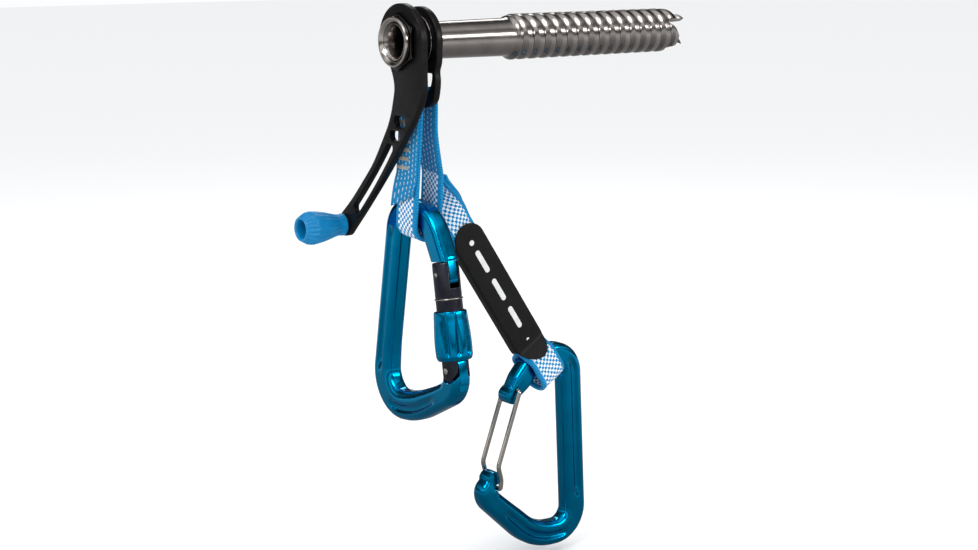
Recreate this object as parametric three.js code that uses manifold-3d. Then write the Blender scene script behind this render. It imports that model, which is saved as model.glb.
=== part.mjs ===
// Ice screw with a crank and knob, a swivelling hanger plate, a sewn sling, a screw-lock carabiner and
// a short draw with a wire-gate carabiner.
// Units are millimetres. +X runs along the tube to the teeth and +Z is up. The pieces are drawn with the
// tube's axis at Z 0 and the hanger plate's rear (ice side) face at X 0. The whole is then lowered, so that
// the part's origin is a point of that face straight above the tube.
import * as THREE from "three";
import { mergeVertices } from "three/addons/utils/BufferGeometryUtils.js";
import Module from "manifold-3d";

const wasm = await Module();
wasm.setup();

// ---------------------------------------------------------------- driving dimensions

const GAP = 0.3;
const FACETS = 24;
const AXIS_DROP = 12.2;

const tube = {
  start: -15.5,
  boreRadius: 6.6,
  shankRadius: 8,
  shankFlare: 0.5,
  ribRadius: 10.25,
  grooveDepth: 1.6,
  grooveHalfWidth: 2.1,
  pitch: 6.39,
  firstGroove: 45.03,
  threadStart: 44,
  end: 147.2,
  toothHeight: 11,
  toothTurn: THREE.MathUtils.degToRad(52),
  toothCount: 4,
};

const head = {
  ringFront: -16.7,
  ringRear: -14.7,
  ringRadius: 10.8,
  mouthRadius: 8.3,
  hexFront: -14.4,
  hexRadius: 12.7,
  crankFront: -12.45,
  crankRear: -9.15,
  spoolRadius: 10.6,
  washerRadius: 11.6,
  washerThickness: 0.8,
  runningRadius: 8.35,
};

const crank = { discRadius: 16.3, tipX: -46.7, tipY: -85.4, tipRadius: 5.4, slotHalfWidth: 2.3 };

const knob = { front: -35.7, baseRadius: 4.8, skirtRadius: 7.7, holeRadius: 4.4, pinRadius: 2.1 };

const plate = { thickness: 3.3, discRadius: 14.8, eyeY: -14, eyeRadius: 10.5, eyeTop: -13.4 };

const tape = { thickness: 1.9, width: 15.5, sleevedWidth: 14.4 };

const sling = { lean: THREE.MathUtils.degToRad(4.5), topRadius: 3.55, bottomRadius: 6.55, bottom: -87.05 };

const bar = { halfThickness: 4.6, halfDepth: 5.2, webHalf: 3.3, corner: 1.5 };

const locker = { x: 0.4, barY: -75.5 };

const gate = {
  pivotX: 22.4,
  pivotY: -142,
  tilt: THREE.MathUtils.degToRad(9.5),
  radius: 5.9,
  length: 47.5,
  forkRadius: 4.8,
  forkGap: 6.8,
  slotHalf: 2.45,
  tangHalf: 2.1,
  pinRadius: 1.5,
  pinHole: 1.8,
  boreRadius: 2.4,
  boreEnd: 20,
  mouthBottom: 36,
  latchY: 42.3,
  latchRadius: 1.1,
  ringY: 31.3,
};

const collar = { bottom: 4.3, length: 21.7, boreRadius: 6.6, topRadius: 7.25, bellyRadius: 8.4 };

const draw = {
  y: 4.5,
  start: new THREE.Vector3(10.3, 7, -60),
  sleeveTop: new THREE.Vector3(21.6, 4.5, -84.2),
  sleeveEnd: new THREE.Vector3(63.8, 4.5, -147.8),
  sleeveWidth: 16.8,
  sleeveThickness: 6.2,
  loopLength: 19.6,
  loopHalf: 7.4,
  loopStart: -5,
};

const wire = { radius: 1.1, halfSpan: 6, pivotX: 52.4, pivotY: -164.6, endX: 41.1, endY: -210.5 };

// ---------------------------------------------------------------- materials

function finish(color, roughness, metalness) {
  return new THREE.MeshStandardMaterial({ color, roughness, metalness });
}

const steel = finish(0x857b78, 0.32, 1);
const polishedSteel = finish(0x9a928c, 0.18, 1);
const blackAluminium = finish(0x262326, 0.45, 0.6);
const blackPlastic = finish(0x141315, 0.6, 0);
const blueAnodised = finish(0x0073aa, 0.25, 0.9);
const gunmetal = finish(0x33343d, 0.35, 0.9);
const bluePlastic = finish(0x0a8fd6, 0.4, 0);
const blueTape = finish(0x1b84c6, 0.85, 0);
const checkerTape = finish(0x6fb1da, 0.85, 0);

// ---------------------------------------------------------------- solids and cuts

// A closed geometry as a manifold solid. Only positions are kept, so that shared vertices merge.
function solid(geometry) {
  const bare = new THREE.BufferGeometry();
  bare.setAttribute("position", geometry.getAttribute("position"));
  if (geometry.index) bare.setIndex(geometry.index);
  const merged = mergeVertices(bare, 1e-4);
  return new wasm.Manifold(
    new wasm.Mesh({
      numProp: 3,
      vertProperties: new Float32Array(merged.attributes.position.array),
      triVerts: new Uint32Array(merged.index.array),
    }),
  );
}

function geometryOf(manifold) {
  const mesh = manifold.getMesh();
  const geometry = new THREE.BufferGeometry();
  geometry.setAttribute("position", new THREE.BufferAttribute(mesh.vertProperties, 3));
  geometry.setIndex(new THREE.BufferAttribute(mesh.triVerts, 1));
  geometry.computeVertexNormals();
  return geometry;
}

// The first geometry with the second ones cut away.
function cut(body, ...tools) {
  return geometryOf(tools.reduce((left, tool) => left.subtract(solid(tool)), solid(body)));
}

function join(...bodies) {
  return geometryOf(bodies.map(solid).reduce((sum, next) => sum.add(next)));
}

function common(a, b) {
  return geometryOf(solid(a).intersect(solid(b)));
}

// ---------------------------------------------------------------- shapes

function pointsOf(pairs) {
  return pairs.map(([x, y]) => new THREE.Vector2(x, y));
}

// A path of straight runs with round corners. Each corner is [x, y, radius].
function roundedPath(corners, closed = false) {
  const path = new THREE.Path();
  const count = corners.length;
  corners.forEach(([x, y, radius], i) => {
    const here = new THREE.Vector2(x, y);
    const isEnd = !closed && (i === 0 || i === count - 1);
    if (isEnd || !radius) {
      if (i === 0) path.moveTo(x, y);
      else path.lineTo(x, y);
      return;
    }
    const before = new THREE.Vector2(...corners[(i + count - 1) % count]).sub(here).normalize();
    const after = new THREE.Vector2(...corners[(i + 1) % count]).sub(here).normalize();
    const half = Math.acos(THREE.MathUtils.clamp(before.dot(after), -1, 1)) / 2;
    const reach = radius / Math.tan(half);
    const centre = before.clone().add(after).normalize().multiplyScalar(radius / Math.sin(half)).add(here);
    const enter = before.clone().multiplyScalar(reach).add(here).sub(centre);
    const leave = after.clone().multiplyScalar(reach).add(here).sub(centre);
    const clockwise = before.cross(after) > 0;
    if (i === 0) path.moveTo(centre.x + enter.x, centre.y + enter.y);
    else path.lineTo(centre.x + enter.x, centre.y + enter.y);
    path.absarc(centre.x, centre.y, radius, enter.angle(), leave.angle(), clockwise);
  });
  if (closed) path.closePath();
  return path;
}

// A flat path lifted into the XY plane of three dimensions, for sweeping a section along it.
class LiftedPath extends THREE.Curve {
  constructor(path) {
    super();
    this.path = path;
  }
  getPoint(t) {
    const { x, y } = this.path.getPointAt(t);
    return new THREE.Vector3(x, y, 0);
  }
}

// Points at a distance to the left of a path, which can be closed.
function beside(path, distance, count, closed) {
  const points = path.getSpacedPoints(count);
  if (closed) points.pop();
  const total = points.length;
  return points.map((point, i) => {
    const ahead = closed ? points[(i + 1) % total] : points[Math.min(i + 1, total - 1)];
    const behind = closed ? points[(i + total - 1) % total] : points[Math.max(i - 1, 0)];
    const run = ahead.clone().sub(behind).normalize();
    return new THREE.Vector2(point.x - run.y * distance, point.y + run.x * distance);
  });
}

// A band of even thickness along a closed path, drawn anticlockwise.
function bandShape(path, thickness, count) {
  const shape = new THREE.Shape(beside(path, -thickness / 2, count, true));
  shape.holes.push(new THREE.Path(beside(path, thickness / 2, count, true)));
  return shape;
}

// A slot of even width with round ends along an open path.
function slotPath(path, halfWidth) {
  const steps = 8;
  const roundSteps = 4;
  const left = beside(path, halfWidth, steps, false);
  const right = beside(path, -halfWidth, steps, false).reverse();
  const cap = (centre, from) =>
    Array.from({ length: roundSteps - 1 }, (_, i) => {
      const turn = (-Math.PI * (i + 1)) / roundSteps;
      return from.clone().rotateAround(centre, turn);
    });
  const end = path.getPointAt(1);
  const start = path.getPointAt(0);
  return new THREE.Path([...left, ...cap(end, left[steps]), ...right, ...cap(start, right[steps])]);
}

function roundedBox(x, y, width, height, radius) {
  const w = width / 2;
  const h = height / 2;
  const corners = [[w, -h], [w, h], [-w, h], [-w, -h]].map(([dx, dy]) => [x + dx, y + dy, radius]);
  return roundedPath(corners, true);
}

// A path's points, anticlockwise, with no two closer than a given spacing.
function tidy(path, segments, spacing) {
  const kept = [];
  path.getPoints(segments).forEach((point) => {
    if (!kept.length || kept[kept.length - 1].distanceTo(point) > spacing) kept.push(point);
  });
  if (kept[0].distanceTo(kept[kept.length - 1]) < spacing) kept.pop();
  return THREE.ShapeUtils.isClockWise(kept) ? kept.reverse() : kept;
}

function slab(shape, from, to, segments = 6, steps = 1, spacing = 0.01) {
  const outline = new THREE.Shape(tidy(shape, segments, spacing));
  outline.holes = shape.holes.map((hole) => new THREE.Path(tidy(hole, segments, spacing / 2)));
  const settings = { depth: to - from, bevelEnabled: false, steps };
  return new THREE.ExtrudeGeometry(outline, settings).translate(0, 0, from);
}

function circle(x, y, radius) {
  return new THREE.Path().absarc(x, y, radius, 0, 2 * Math.PI);
}

function box(x0, x1, y0, y1, z0, z1) {
  const geometry = new THREE.BoxGeometry(x1 - x0, y1 - y0, z1 - z0);
  return geometry.translate((x0 + x1) / 2, (y0 + y1) / 2, (z0 + z1) / 2);
}

// A solid of revolution about local Y. The profile is a list of [radius, height] that closes on itself.
function turned(profile, facets = FACETS) {
  const points = [...profile, profile[0]].map(([radius, height]) => new THREE.Vector2(radius, height));
  return new THREE.LatheGeometry(points, facets);
}

// A turned piece laid along the tube: heights become X.
function alongTube(geometry) {
  return geometry.rotateZ(-Math.PI / 2);
}

function ringAlongTube(x0, x1, innerRadius, outerRadius) {
  return alongTube(turned([[innerRadius, x0], [outerRadius, x0], [outerRadius, x1], [innerRadius, x1]]));
}

// A round bar along local Z.
function pinAlongZ(x, y, radius, z0, z1, facets = 12) {
  const geometry = new THREE.CylinderGeometry(radius, radius, z1 - z0, facets).rotateX(Math.PI / 2);
  return geometry.translate(x, y, (z0 + z1) / 2);
}

// ---------------------------------------------------------------- screw

// Radius of the tube's outside at a height and angle: a plain shank that steps up to a right-hand
// thread of broad ribs with a round groove between them, ground down towards the teeth.
// Angles run from +Z toward -Y.
function threadRadius(height, angle) {
  const { shankRadius, shankFlare, ribRadius, pitch, firstGroove, threadStart, end } = tube;
  const { smoothstep, clamp } = THREE.MathUtils;
  const shank = shankRadius + shankFlare * clamp(height / threadStart, 0, 1);
  const step = smoothstep(height, threadStart, threadStart + 3);
  const ground = 1.5 * smoothstep(height, end - tube.toothHeight, end);
  const turns = (height - firstGroove) / pitch - angle / (2 * Math.PI) - 0.25;
  const fromGroove = Math.abs(turns - Math.round(turns)) * pitch;
  const inGroove = Math.max(0, 1 - fromGroove / tube.grooveHalfWidth);
  const depth = tube.grooveDepth * Math.sin((inGroove * Math.PI) / 2) ** 2;
  const fade = smoothstep(height, threadStart + 1.5, threadStart + 4);
  return THREE.MathUtils.lerp(shank, ribRadius, step) - depth * fade - ground;
}

// Moves every vertex of a turned piece, given its profile row, its column and its height.
function reshape(geometry, rowCount, place) {
  const position = geometry.getAttribute("position");
  for (let i = 0; i < position.count; i += 1) {
    const { radius, height, angle } = place(i % rowCount, Math.floor(i / rowCount), position.getY(i));
    position.setXYZ(i, radius * Math.sin(angle), height, radius * Math.cos(angle));
  }
  return geometry;
}

// Everything beyond the cutting edge: from each tip the edge drops along a near-axial face, then
// climbs an even ramp to the next tip.
function beyondTeeth() {
  const quarter = (2 * Math.PI) / tube.toothCount;
  const perTooth = FACETS / tube.toothCount;
  const steep = THREE.MathUtils.degToRad(3);
  const ramp = (quarter - steep) / (perTooth - 1);
  const inner = tube.boreRadius - 1;
  const outer = tube.ribRadius + 1;
  const profile = [[inner, 0], [outer, 0], [outer, 1], [inner, 1]];
  return reshape(turned(profile), profile.length + 1, (row, column) => {
    const step = column % perTooth;
    const inside = step ? steep + ramp * (step - 1) : 0;
    const rise = step ? (inside - steep) / (quarter - steep) : 1;
    const edge = tube.end - tube.toothHeight * (1 - rise);
    return {
      radius: profile[row % profile.length][0],
      height: row === 1 || row === 0 || row === profile.length ? edge : tube.end + 5,
      angle: tube.toothTurn + Math.floor(column / perTooth) * quarter + inside,
    };
  });
}

function screwTube() {
  const { start, threadStart, end, boreRadius, pitch } = tube;
  const rowsPerPitch = 5;
  const rows = Math.round(((end + 0.2 - threadStart) / pitch) * rowsPerPitch);
  const spacing = (end + 0.2 - threadStart) / rows;
  const threaded = Array.from({ length: rows + 1 }, (_, i) => threadStart + spacing * i);
  const outer = [start, 0, 20, ...threaded].map((height) => [tube.shankRadius, height]);
  const profile = [[boreRadius, start], ...outer, [boreRadius, end + 0.2]];
  const isBore = (row) => row === 0 || row >= profile.length - 1;
  const body = reshape(turned(profile), profile.length + 1, (row, column, height) => {
    const angle = (2 * Math.PI * column) / FACETS;
    return { radius: isBore(row) ? boreRadius : threadRadius(height, angle), height, angle };
  });
  return alongTube(cut(body, beyondTeeth()));
}

// The bright mouth of the head: a short ring with a funnel that leads into the tube.
function headRing() {
  const { ringFront, ringRear, ringRadius, mouthRadius } = head;
  return alongTube(turned([
    [mouthRadius, ringFront + 1.2],
    [mouthRadius + 1.2, ringFront],
    [ringRadius - 0.4, ringFront],
    [ringRadius, ringFront + 0.4],
    [ringRadius, ringRear],
    [mouthRadius, ringRear],
  ]));
}

function hexNut() {
  const thickness = 1.9;
  const hex = new THREE.CylinderGeometry(head.hexRadius, head.hexRadius, thickness, 6).rotateZ(-Math.PI / 2);
  hex.translate(head.hexFront + thickness / 2, 0, 0);
  const bore = new THREE.CylinderGeometry(head.mouthRadius, head.mouthRadius, 20, FACETS);
  bore.rotateZ(Math.PI / 2);
  return cut(hex, bore.translate(head.ringFront, 0, 0));
}

// ---------------------------------------------------------------- crank and knob

// The arm's edges as smooth curves: down the outer edge to the tip, then back up the inner edge.
const crankOuterEdge = [
  [16.3, -12], [16, -21.5], [11.3, -30.6], [2.9, -41.1], [-11.5, -57.5], [-27.4, -74], [-41, -87.3],
];
const crankInnerEdge = [
  [-41, -73.6], [-32.8, -65.6], [-22.6, -54.9], [-14.6, -43.7], [-9.2, -35], [-6, -26], [-4.9, -18.6],
  [-8.2, -10.6], [-13.4, -6],
];

// The arm drawn as seen from the head: x to the right, y up.
function crankShape() {
  const shape = new THREE.Shape();
  shape.absarc(0, 0, crank.discRadius, Math.PI * 1.02, 0, true);
  shape.splineThru(pointsOf(crankOuterEdge));
  shape.absarc(crank.tipX, crank.tipY, crank.tipRadius, -Math.PI / 4, (3 * Math.PI) / 4, true);
  shape.splineThru(pointsOf(crankInnerEdge));
  shape.closePath();
  const slot = new THREE.Path().moveTo(-9, -46.6).quadraticCurveTo(-19.4, -60.2, -36.4, -76.8);
  shape.holes.push(
    circle(0, 0, head.runningRadius),
    circle(crank.tipX, crank.tipY, knob.pinRadius + GAP),
    roundedBox(-1, -34.6, 8.4, 5.2, 2.2),
    roundedBox(-4.7, -41, 8, 4.6, 2),
    slotPath(slot, crank.slotHalfWidth),
  );
  return shape;
}

function crankArm() {
  return slab(crankShape(), -head.crankRear, -head.crankFront, 10, 1, 1);
}

// Hollow winding knob: a lip at the arm, a flaring skirt, a chamfered front and a wide front pocket.
function windingKnob() {
  const base = head.crankFront - 0.75;
  const length = base - knob.front;
  const at = (share) => base - length * share;
  return turned([
    [knob.pinRadius + GAP, at(0)],
    [knob.pinRadius + GAP, at(0.42)],
    [knob.holeRadius, at(0.42)],
    [knob.holeRadius, at(1)],
    [knob.holeRadius + 1.1, at(1)],
    [knob.skirtRadius - 0.4, at(0.86)],
    [knob.skirtRadius, at(0.76)],
    [knob.skirtRadius * 0.86, at(0.45)],
    [knob.baseRadius, at(0.16)],
    [knob.baseRadius - 0.5, at(0.1)],
    [knob.baseRadius + 0.3, at(0.03)],
    [knob.baseRadius, at(0)],
  ]);
}

// The knob's axle: flush at the back of the arm, with a head inside the knob's pocket.
function knobPin() {
  const base = head.crankFront - 0.75;
  const seat = base - (base - knob.front) * 0.42 - GAP;
  return turned([
    [0.001, head.crankRear - 0.1],
    [0.001, seat - 1.2],
    [3.6, seat - 1.2],
    [3.6, seat],
    [knob.pinRadius, seat],
    [knob.pinRadius, head.crankRear - 0.1],
  ]);
}

// ---------------------------------------------------------------- hanger plate and its sling

function hangerShape() {
  const side = [
    [14.3, -8.4], [12.9, -12.3], [13.3, -16.5], [12.8, -21], [11.2, -25.4], [6.5, -28.2], [0, -28.6],
  ];
  const shape = new THREE.Shape();
  shape.absarc(0, 0, plate.discRadius, Math.PI * 1.06, -Math.PI * 0.06, true);
  const mirrored = side.slice(0, -1).reverse().map(([x, y]) => [-x, y]);
  shape.splineThru(pointsOf(side));
  shape.splineThru(pointsOf(mirrored));
  shape.closePath();
  const lift = Math.asin((plate.eyeTop - plate.eyeY) / plate.eyeRadius);
  const eye = new THREE.Path();
  eye.absarc(0, plate.eyeY, plate.eyeRadius, Math.PI - lift, lift, false);
  eye.closePath();
  shape.holes.push(circle(0, 0, head.runningRadius), eye);
  return shape;
}

// The loop that the tape makes, seen from the side: x is along the tube, y is up. It passes over the
// rim of the plate's eye, and widens at the back where the draw is sewn to it.
function slingPath() {
  const rimX = -plate.thickness / 2;
  const top = -22.55;
  const corners = [
    [rimX + sling.topRadius, top, sling.topRadius - 0.01],
    [rimX - sling.topRadius, top, sling.topRadius - 0.01],
    [locker.x - sling.bottomRadius, sling.bottom, sling.bottomRadius - 0.1],
    [locker.x + sling.bottomRadius, sling.bottom, sling.bottomRadius - 0.1],
    [locker.x + sling.bottomRadius, -59, 14],
    [rimX + sling.topRadius + 0.8, -40, 30],
  ];
  return roundedPath(corners, true);
}

// The tape loop is extruded across its width, then cupped where it lies in the round eye.
function hangerSling() {
  const band = slab(bandShape(slingPath(), tape.thickness, 76), -tape.width / 2, tape.width / 2, 12, 6);
  const position = band.getAttribute("position");
  const cupRadius = 10;
  for (let i = 0; i < position.count; i += 1) {
    const across = position.getZ(i);
    const share = THREE.MathUtils.smoothstep(position.getY(i), -48, -30);
    const cup = cupRadius - Math.sqrt(cupRadius ** 2 - across ** 2);
    position.setY(i, position.getY(i) + cup * share);
  }
  return geometryOf(solid(band));
}

// ---------------------------------------------------------------- forged bars

// Half of a forged carabiner bar's section: x is across the carabiner's plane, y is in the plane.
function barShape() {
  const { halfThickness: t, halfDepth: d, webHalf: w, corner: c } = bar;
  const quarter = [[w, 1.3], [t, 2.2], [t, d - c], [t - c, d]];
  const right = [...quarter.slice().reverse(), ...quarter.map(([x, y]) => [x, -y])];
  const left = right.map(([x, y]) => [-x, -y]);
  return new THREE.Shape(pointsOf([...left, ...right]));
}

function forgedBar(corners, steps) {
  const extrudePath = new LiftedPath(roundedPath(corners));
  return new THREE.ExtrudeGeometry(barShape(), { steps, extrudePath });
}

// ---------------------------------------------------------------- locking carabiner

// Pieces of the gate are drawn with the hinge pin at the origin and the barrel along +Y, then placed.
function onGate(geometry) {
  return geometry.rotateZ(gate.tilt).translate(gate.pivotX, gate.pivotY, 0);
}

// The frame as seen from the head: from the nose, over the top bar and down the spine to the hinge.
function lockerFrame() {
  const corners = [
    [17.9, -101, 0],
    [4, locker.barY, 16],
    [-19.3, locker.barY, 11],
    [-35, -169.4, 15],
    [-6, -166.6, 40],
    [23.6, -151.2, 9.5],
    [22.6, -142, 0],
  ];
  const body = forgedBar(corners, 60);
  const gateRoom = onGate(box(-14, 14, 0, gate.length + 0.7, -9, 9));
  const hingeRoom = pinAlongZ(gate.pivotX, gate.pivotY, gate.forkRadius + 1.1, -9, 9, FACETS);
  const half = gate.tangHalf;
  const tang = join(
    pinAlongZ(0, 0, gate.forkRadius - GAP, -half, half, FACETS),
    pinAlongZ(-2.6, 3.1, 1.5, -half, half),
    box(-4.3, 4.6, -9.5, 0, -half, half),
  );
  // The nose rib enters the barrel's slot, and its foot reaches under the latch pin.
  const rib = new THREE.Shape(
    pointsOf([[-2, 38.4], [-2, 40.4], [1.7, 40.6], [1.7, 50], [5.3, 50], [5.5, 37.6]]),
  );
  const pinHole = pinAlongZ(gate.pivotX, gate.pivotY, gate.pinHole, -9, 9);
  const shell = cut(body, gateRoom, hingeRoom);
  return cut(join(shell, onGate(tang), onGate(slab(rib, -half, half))), pinHole);
}

function lockerGate() {
  const { radius, length, forkRadius, slotHalf, forkGap, mouthBottom, ringY, latchY } = gate;
  const groove = 0.55;
  const barrel = turned(
    [
      [0.001, -forkRadius],
      [radius, -forkRadius],
      [radius, ringY - groove],
      [radius - groove, ringY - groove],
      [radius - groove, ringY + groove],
      [radius, ringY + groove],
      [radius, length - 0.6],
      [radius - 0.6, length],
      [0.001, length],
    ],
    FACETS,
  );
  const taper = new THREE.Shape();
  taper.absarc(0, 0, forkRadius, Math.PI, 0);
  taper.lineTo(radius + 0.1, forkGap);
  taper.lineTo(radius + 0.1, length + 1);
  taper.lineTo(-radius - 0.1, length + 1);
  taper.lineTo(-radius - 0.1, forkGap);
  const outline = slab(taper, -radius - 1, radius + 1);
  const tangSlot = box(-8, 8, -8, forkGap, -slotHalf, slotHalf);
  const noseSlot = box(-3.1, 8, mouthBottom, length + 1, -slotHalf, slotHalf);
  const springBore = new THREE.CylinderGeometry(gate.boreRadius, gate.boreRadius, gate.boreEnd, 16);
  springBore.translate(0, gate.boreEnd / 2, 0);
  const hingeHole = pinAlongZ(0, 0, gate.pinHole, -9, 9);
  const latchHole = pinAlongZ(0, latchY, gate.latchRadius + 0.2, -9, 9);
  return cut(common(barrel, outline), tangSlot, noseSlot, springBore, hingeHole, latchHole);
}

function snapRing() {
  const { radius, ringY } = gate;
  const half = 0.35;
  return turned(
    [
      [radius - 0.4, ringY - half],
      [radius + 0.3, ringY - half],
      [radius + 0.5, ringY],
      [radius + 0.3, ringY + half],
      [radius - 0.4, ringY + half],
    ],
    FACETS,
  );
}

// Plunger that the spring pushes on to the heel of the frame's tang.
function plunger() {
  const radius = gate.boreRadius - GAP;
  return new THREE.CylinderGeometry(radius, radius - 0.4, 4, 12).translate(0, 7, 0);
}

class Helix extends THREE.Curve {
  constructor(radius, bottom, top, turns) {
    super();
    Object.assign(this, { radius, bottom, top, turns });
  }
  getPoint(t) {
    const angle = 2 * Math.PI * this.turns * t;
    const height = THREE.MathUtils.lerp(this.bottom, this.top, t);
    return new THREE.Vector3(this.radius * Math.cos(angle), height, this.radius * Math.sin(angle));
  }
}

function gateSpring() {
  const section = new THREE.Shape().absarc(0, 0, 0.35, 0, 2 * Math.PI);
  const extrudePath = new Helix(1.5, 9.6, gate.boreEnd - 0.6, 5);
  return new THREE.ExtrudeGeometry(section, { steps: 50, curveSegments: 3, extrudePath });
}

function lockingSleeve() {
  const { bottom, length, boreRadius, topRadius, bellyRadius } = collar;
  const at = (share) => bottom + length * share;
  return turned([
    [boreRadius, at(0)],
    [topRadius, at(0)],
    [bellyRadius - 0.4, at(0.09)],
    [bellyRadius, at(0.3)],
    [topRadius + 0.35, at(0.75)],
    [topRadius, at(1)],
    [boreRadius, at(1)],
  ]);
}

// ---------------------------------------------------------------- draw

const drawAxis = draw.sleeveEnd.clone().sub(draw.sleeveTop).normalize();
const drawWide = new THREE.Vector3().crossVectors(drawAxis, new THREE.Vector3(0, 1, 0)).normalize();
const sleeveLength = draw.sleeveEnd.distanceTo(draw.sleeveTop);

// The sewn double tape: it leaves the sling with its width across the tube, and a quarter twist turns
// its face to the side before it enters the rubber sleeve.
function drawStrip() {
  const lead = draw.sleeveTop.clone().addScaledVector(drawAxis, -9);
  const twistPath = new THREE.CubicBezierCurve3(
    draw.start,
    draw.start.clone().add(new THREE.Vector3(2.6, 0, -7.5)),
    lead,
    draw.sleeveTop,
  );
  const twistSteps = 10;
  const stations = [];
  for (let i = 0; i <= twistSteps; i += 1) {
    const share = i / twistSteps;
    stations.push({ point: twistPath.getPointAt(share), run: twistPath.getTangentAt(share), turn: share });
  }
  const stripEnd = draw.sleeveEnd.clone().addScaledVector(drawAxis, draw.loopStart + 1);
  stations.push({ point: stripEnd, run: drawAxis, turn: 1 });
  const strip = new THREE.BoxGeometry(1, 1, 1, 2, 1, stations.length - 1);
  const position = strip.getAttribute("position");
  for (let i = 0; i < position.count; i += 1) {
    const { point, run, turn } = stations[Math.round((position.getZ(i) + 0.5) * (stations.length - 1))];
    const angle = (THREE.MathUtils.smootherstep(turn, 0, 1) * Math.PI) / 2;
    const level = new THREE.Vector3().crossVectors(run, new THREE.Vector3(0, 1, 0)).normalize();
    const across = new THREE.Vector3(0, -Math.cos(angle), 0);
    const wide = level.clone().multiplyScalar(Math.sin(angle)).add(across);
    const thick = new THREE.Vector3().crossVectors(wide, run).normalize();
    const width = THREE.MathUtils.lerp(tape.width, tape.sleevedWidth, turn);
    const place = point.clone();
    place.addScaledVector(wide, position.getX(i) * width);
    place.addScaledVector(thick, -position.getY(i) * 2 * tape.thickness);
    position.setXYZ(i, place.x, place.y, place.z);
  }
  return strip;
}

// Turns a piece that runs along local X, with its thickness along Y, on to the draw's lower run.
function onDraw(geometry) {
  const turn = new THREE.Matrix4().makeBasis(drawAxis, new THREE.Vector3(0, 1, 0), drawWide);
  return geometry.applyMatrix4(turn.setPosition(draw.sleeveEnd));
}

// The middle of the tape where it opens into the lower loop: x runs down the draw.
function loopPath() {
  const { loopHalf: half, loopStart: start } = draw;
  const far = draw.loopLength - tape.thickness / 2;
  const shoulder = start + half * 0.9;
  const round = half - 0.1;
  return roundedPath(
    [[start, 0, 0], [shoulder, -half, 3], [far, -half, round], [far, half, round], [shoulder, half, 3]],
    true,
  );
}

function drawSling() {
  const half = tape.width / 2;
  const loop = slab(bandShape(loopPath(), tape.thickness, 48), -half, half);
  return join(drawStrip(), onDraw(loop));
}

function drawSleeve() {
  const outline = roundedBox(-sleeveLength / 2, 0, sleeveLength, draw.sleeveWidth, 7.4);
  const halfThickness = draw.sleeveThickness / 2;
  const body = slab(new THREE.Shape(outline.getPoints(8)), -halfThickness, halfThickness);
  const slotHalf = tape.thickness + 0.25;
  const slotWide = tape.sleevedWidth / 2 + 0.35;
  const tapeRoom = box(-sleeveLength - 5, 5, -slotWide, slotWide, -slotHalf, slotHalf);
  const loopOutline = new THREE.Shape(beside(loopPath(), -tape.thickness / 2 - GAP, 48, true));
  const loopRoom = slab(loopOutline, -tape.width / 2 - GAP, tape.width / 2 + GAP);
  return onDraw(cut(body, tapeRoom, loopRoom.rotateX(Math.PI / 2)).rotateX(-Math.PI / 2));
}

// ---------------------------------------------------------------- wire-gate carabiner

// The frame as seen from the side: from the hinge, over the top bar and down the spine to the nose.
function wiregateFrame() {
  const hinge = [50.9, -167.4];
  const nose = [39.6, -206.4];
  const corners = [
    [53.4, -164.6, 0],
    [65.5, -151.2, 15],
    [86.2, -150.4, 11],
    [90.6, -241, 12],
    [64, -240.5, 30],
    [36, -214.2, 6],
    [38.5, -208.9, 0],
  ];
  const body = forgedBar(corners, 60);
  const t = bar.halfThickness;
  const ends = [hinge, nose].map(([x, y]) => pinAlongZ(x, y, 4.1, -t + 0.2, t - 0.2, 16));
  const pivotHole = pinAlongZ(wire.pivotX, wire.pivotY, wire.radius + 0.4, -9, 9);
  const notch = pinAlongZ(wire.endX, wire.endY, wire.radius + 0.9, -9, 9);
  return cut(join(body, ...ends), pivotHole, notch);
}

// One bent wire: in from each side at the hinge, down both flanks and across inside the nose.
function wireGate() {
  const { halfSpan, pivotX, pivotY, endX, endY } = wire;
  const flank = [[pivotX, pivotY], [39.8, -199.4], [41.6, -206], [endX, endY]];
  const points = [
    new THREE.Vector3(pivotX, pivotY, -2.6),
    ...flank.map(([x, y]) => new THREE.Vector3(x, y, -halfSpan)),
    ...flank.reverse().map(([x, y]) => new THREE.Vector3(x, y, halfSpan)),
    new THREE.Vector3(pivotX, pivotY, 2.6),
  ];
  const bend = 1.6;
  const path = new THREE.CurvePath();
  let from = points[0];
  for (let i = 1; i < points.length - 1; i += 1) {
    const corner = points[i];
    const enter = corner.clone().add(points[i - 1].clone().sub(corner).setLength(bend));
    const leave = corner.clone().add(points[i + 1].clone().sub(corner).setLength(bend));
    path.add(new THREE.LineCurve3(from, enter));
    path.add(new THREE.QuadraticBezierCurve3(enter, corner, leave));
    from = leave;
  }
  path.add(new THREE.LineCurve3(from, points[points.length - 1]));
  const section = new THREE.Shape().absarc(0, 0, wire.radius, 0, 2 * Math.PI);
  return new THREE.ExtrudeGeometry(section, { steps: 72, curveSegments: 4, extrudePath: path });
}

// ---------------------------------------------------------------- assembly

const iceScrew = new THREE.Group();
iceScrew.position.z = -AXIS_DROP;

// A group whose local x and y point along two given directions.
function board(origin, right, up) {
  const group = new THREE.Group();
  const toward = new THREE.Vector3().crossVectors(right, up);
  group.quaternion.setFromRotationMatrix(new THREE.Matrix4().makeBasis(right, up, toward));
  group.position.copy(origin);
  iceScrew.add(group);
  return group;
}

function add(parent, name, geometry, material) {
  const mesh = new THREE.Mesh(geometry, material);
  mesh.name = name;
  parent.add(mesh);
  return mesh;
}

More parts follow.
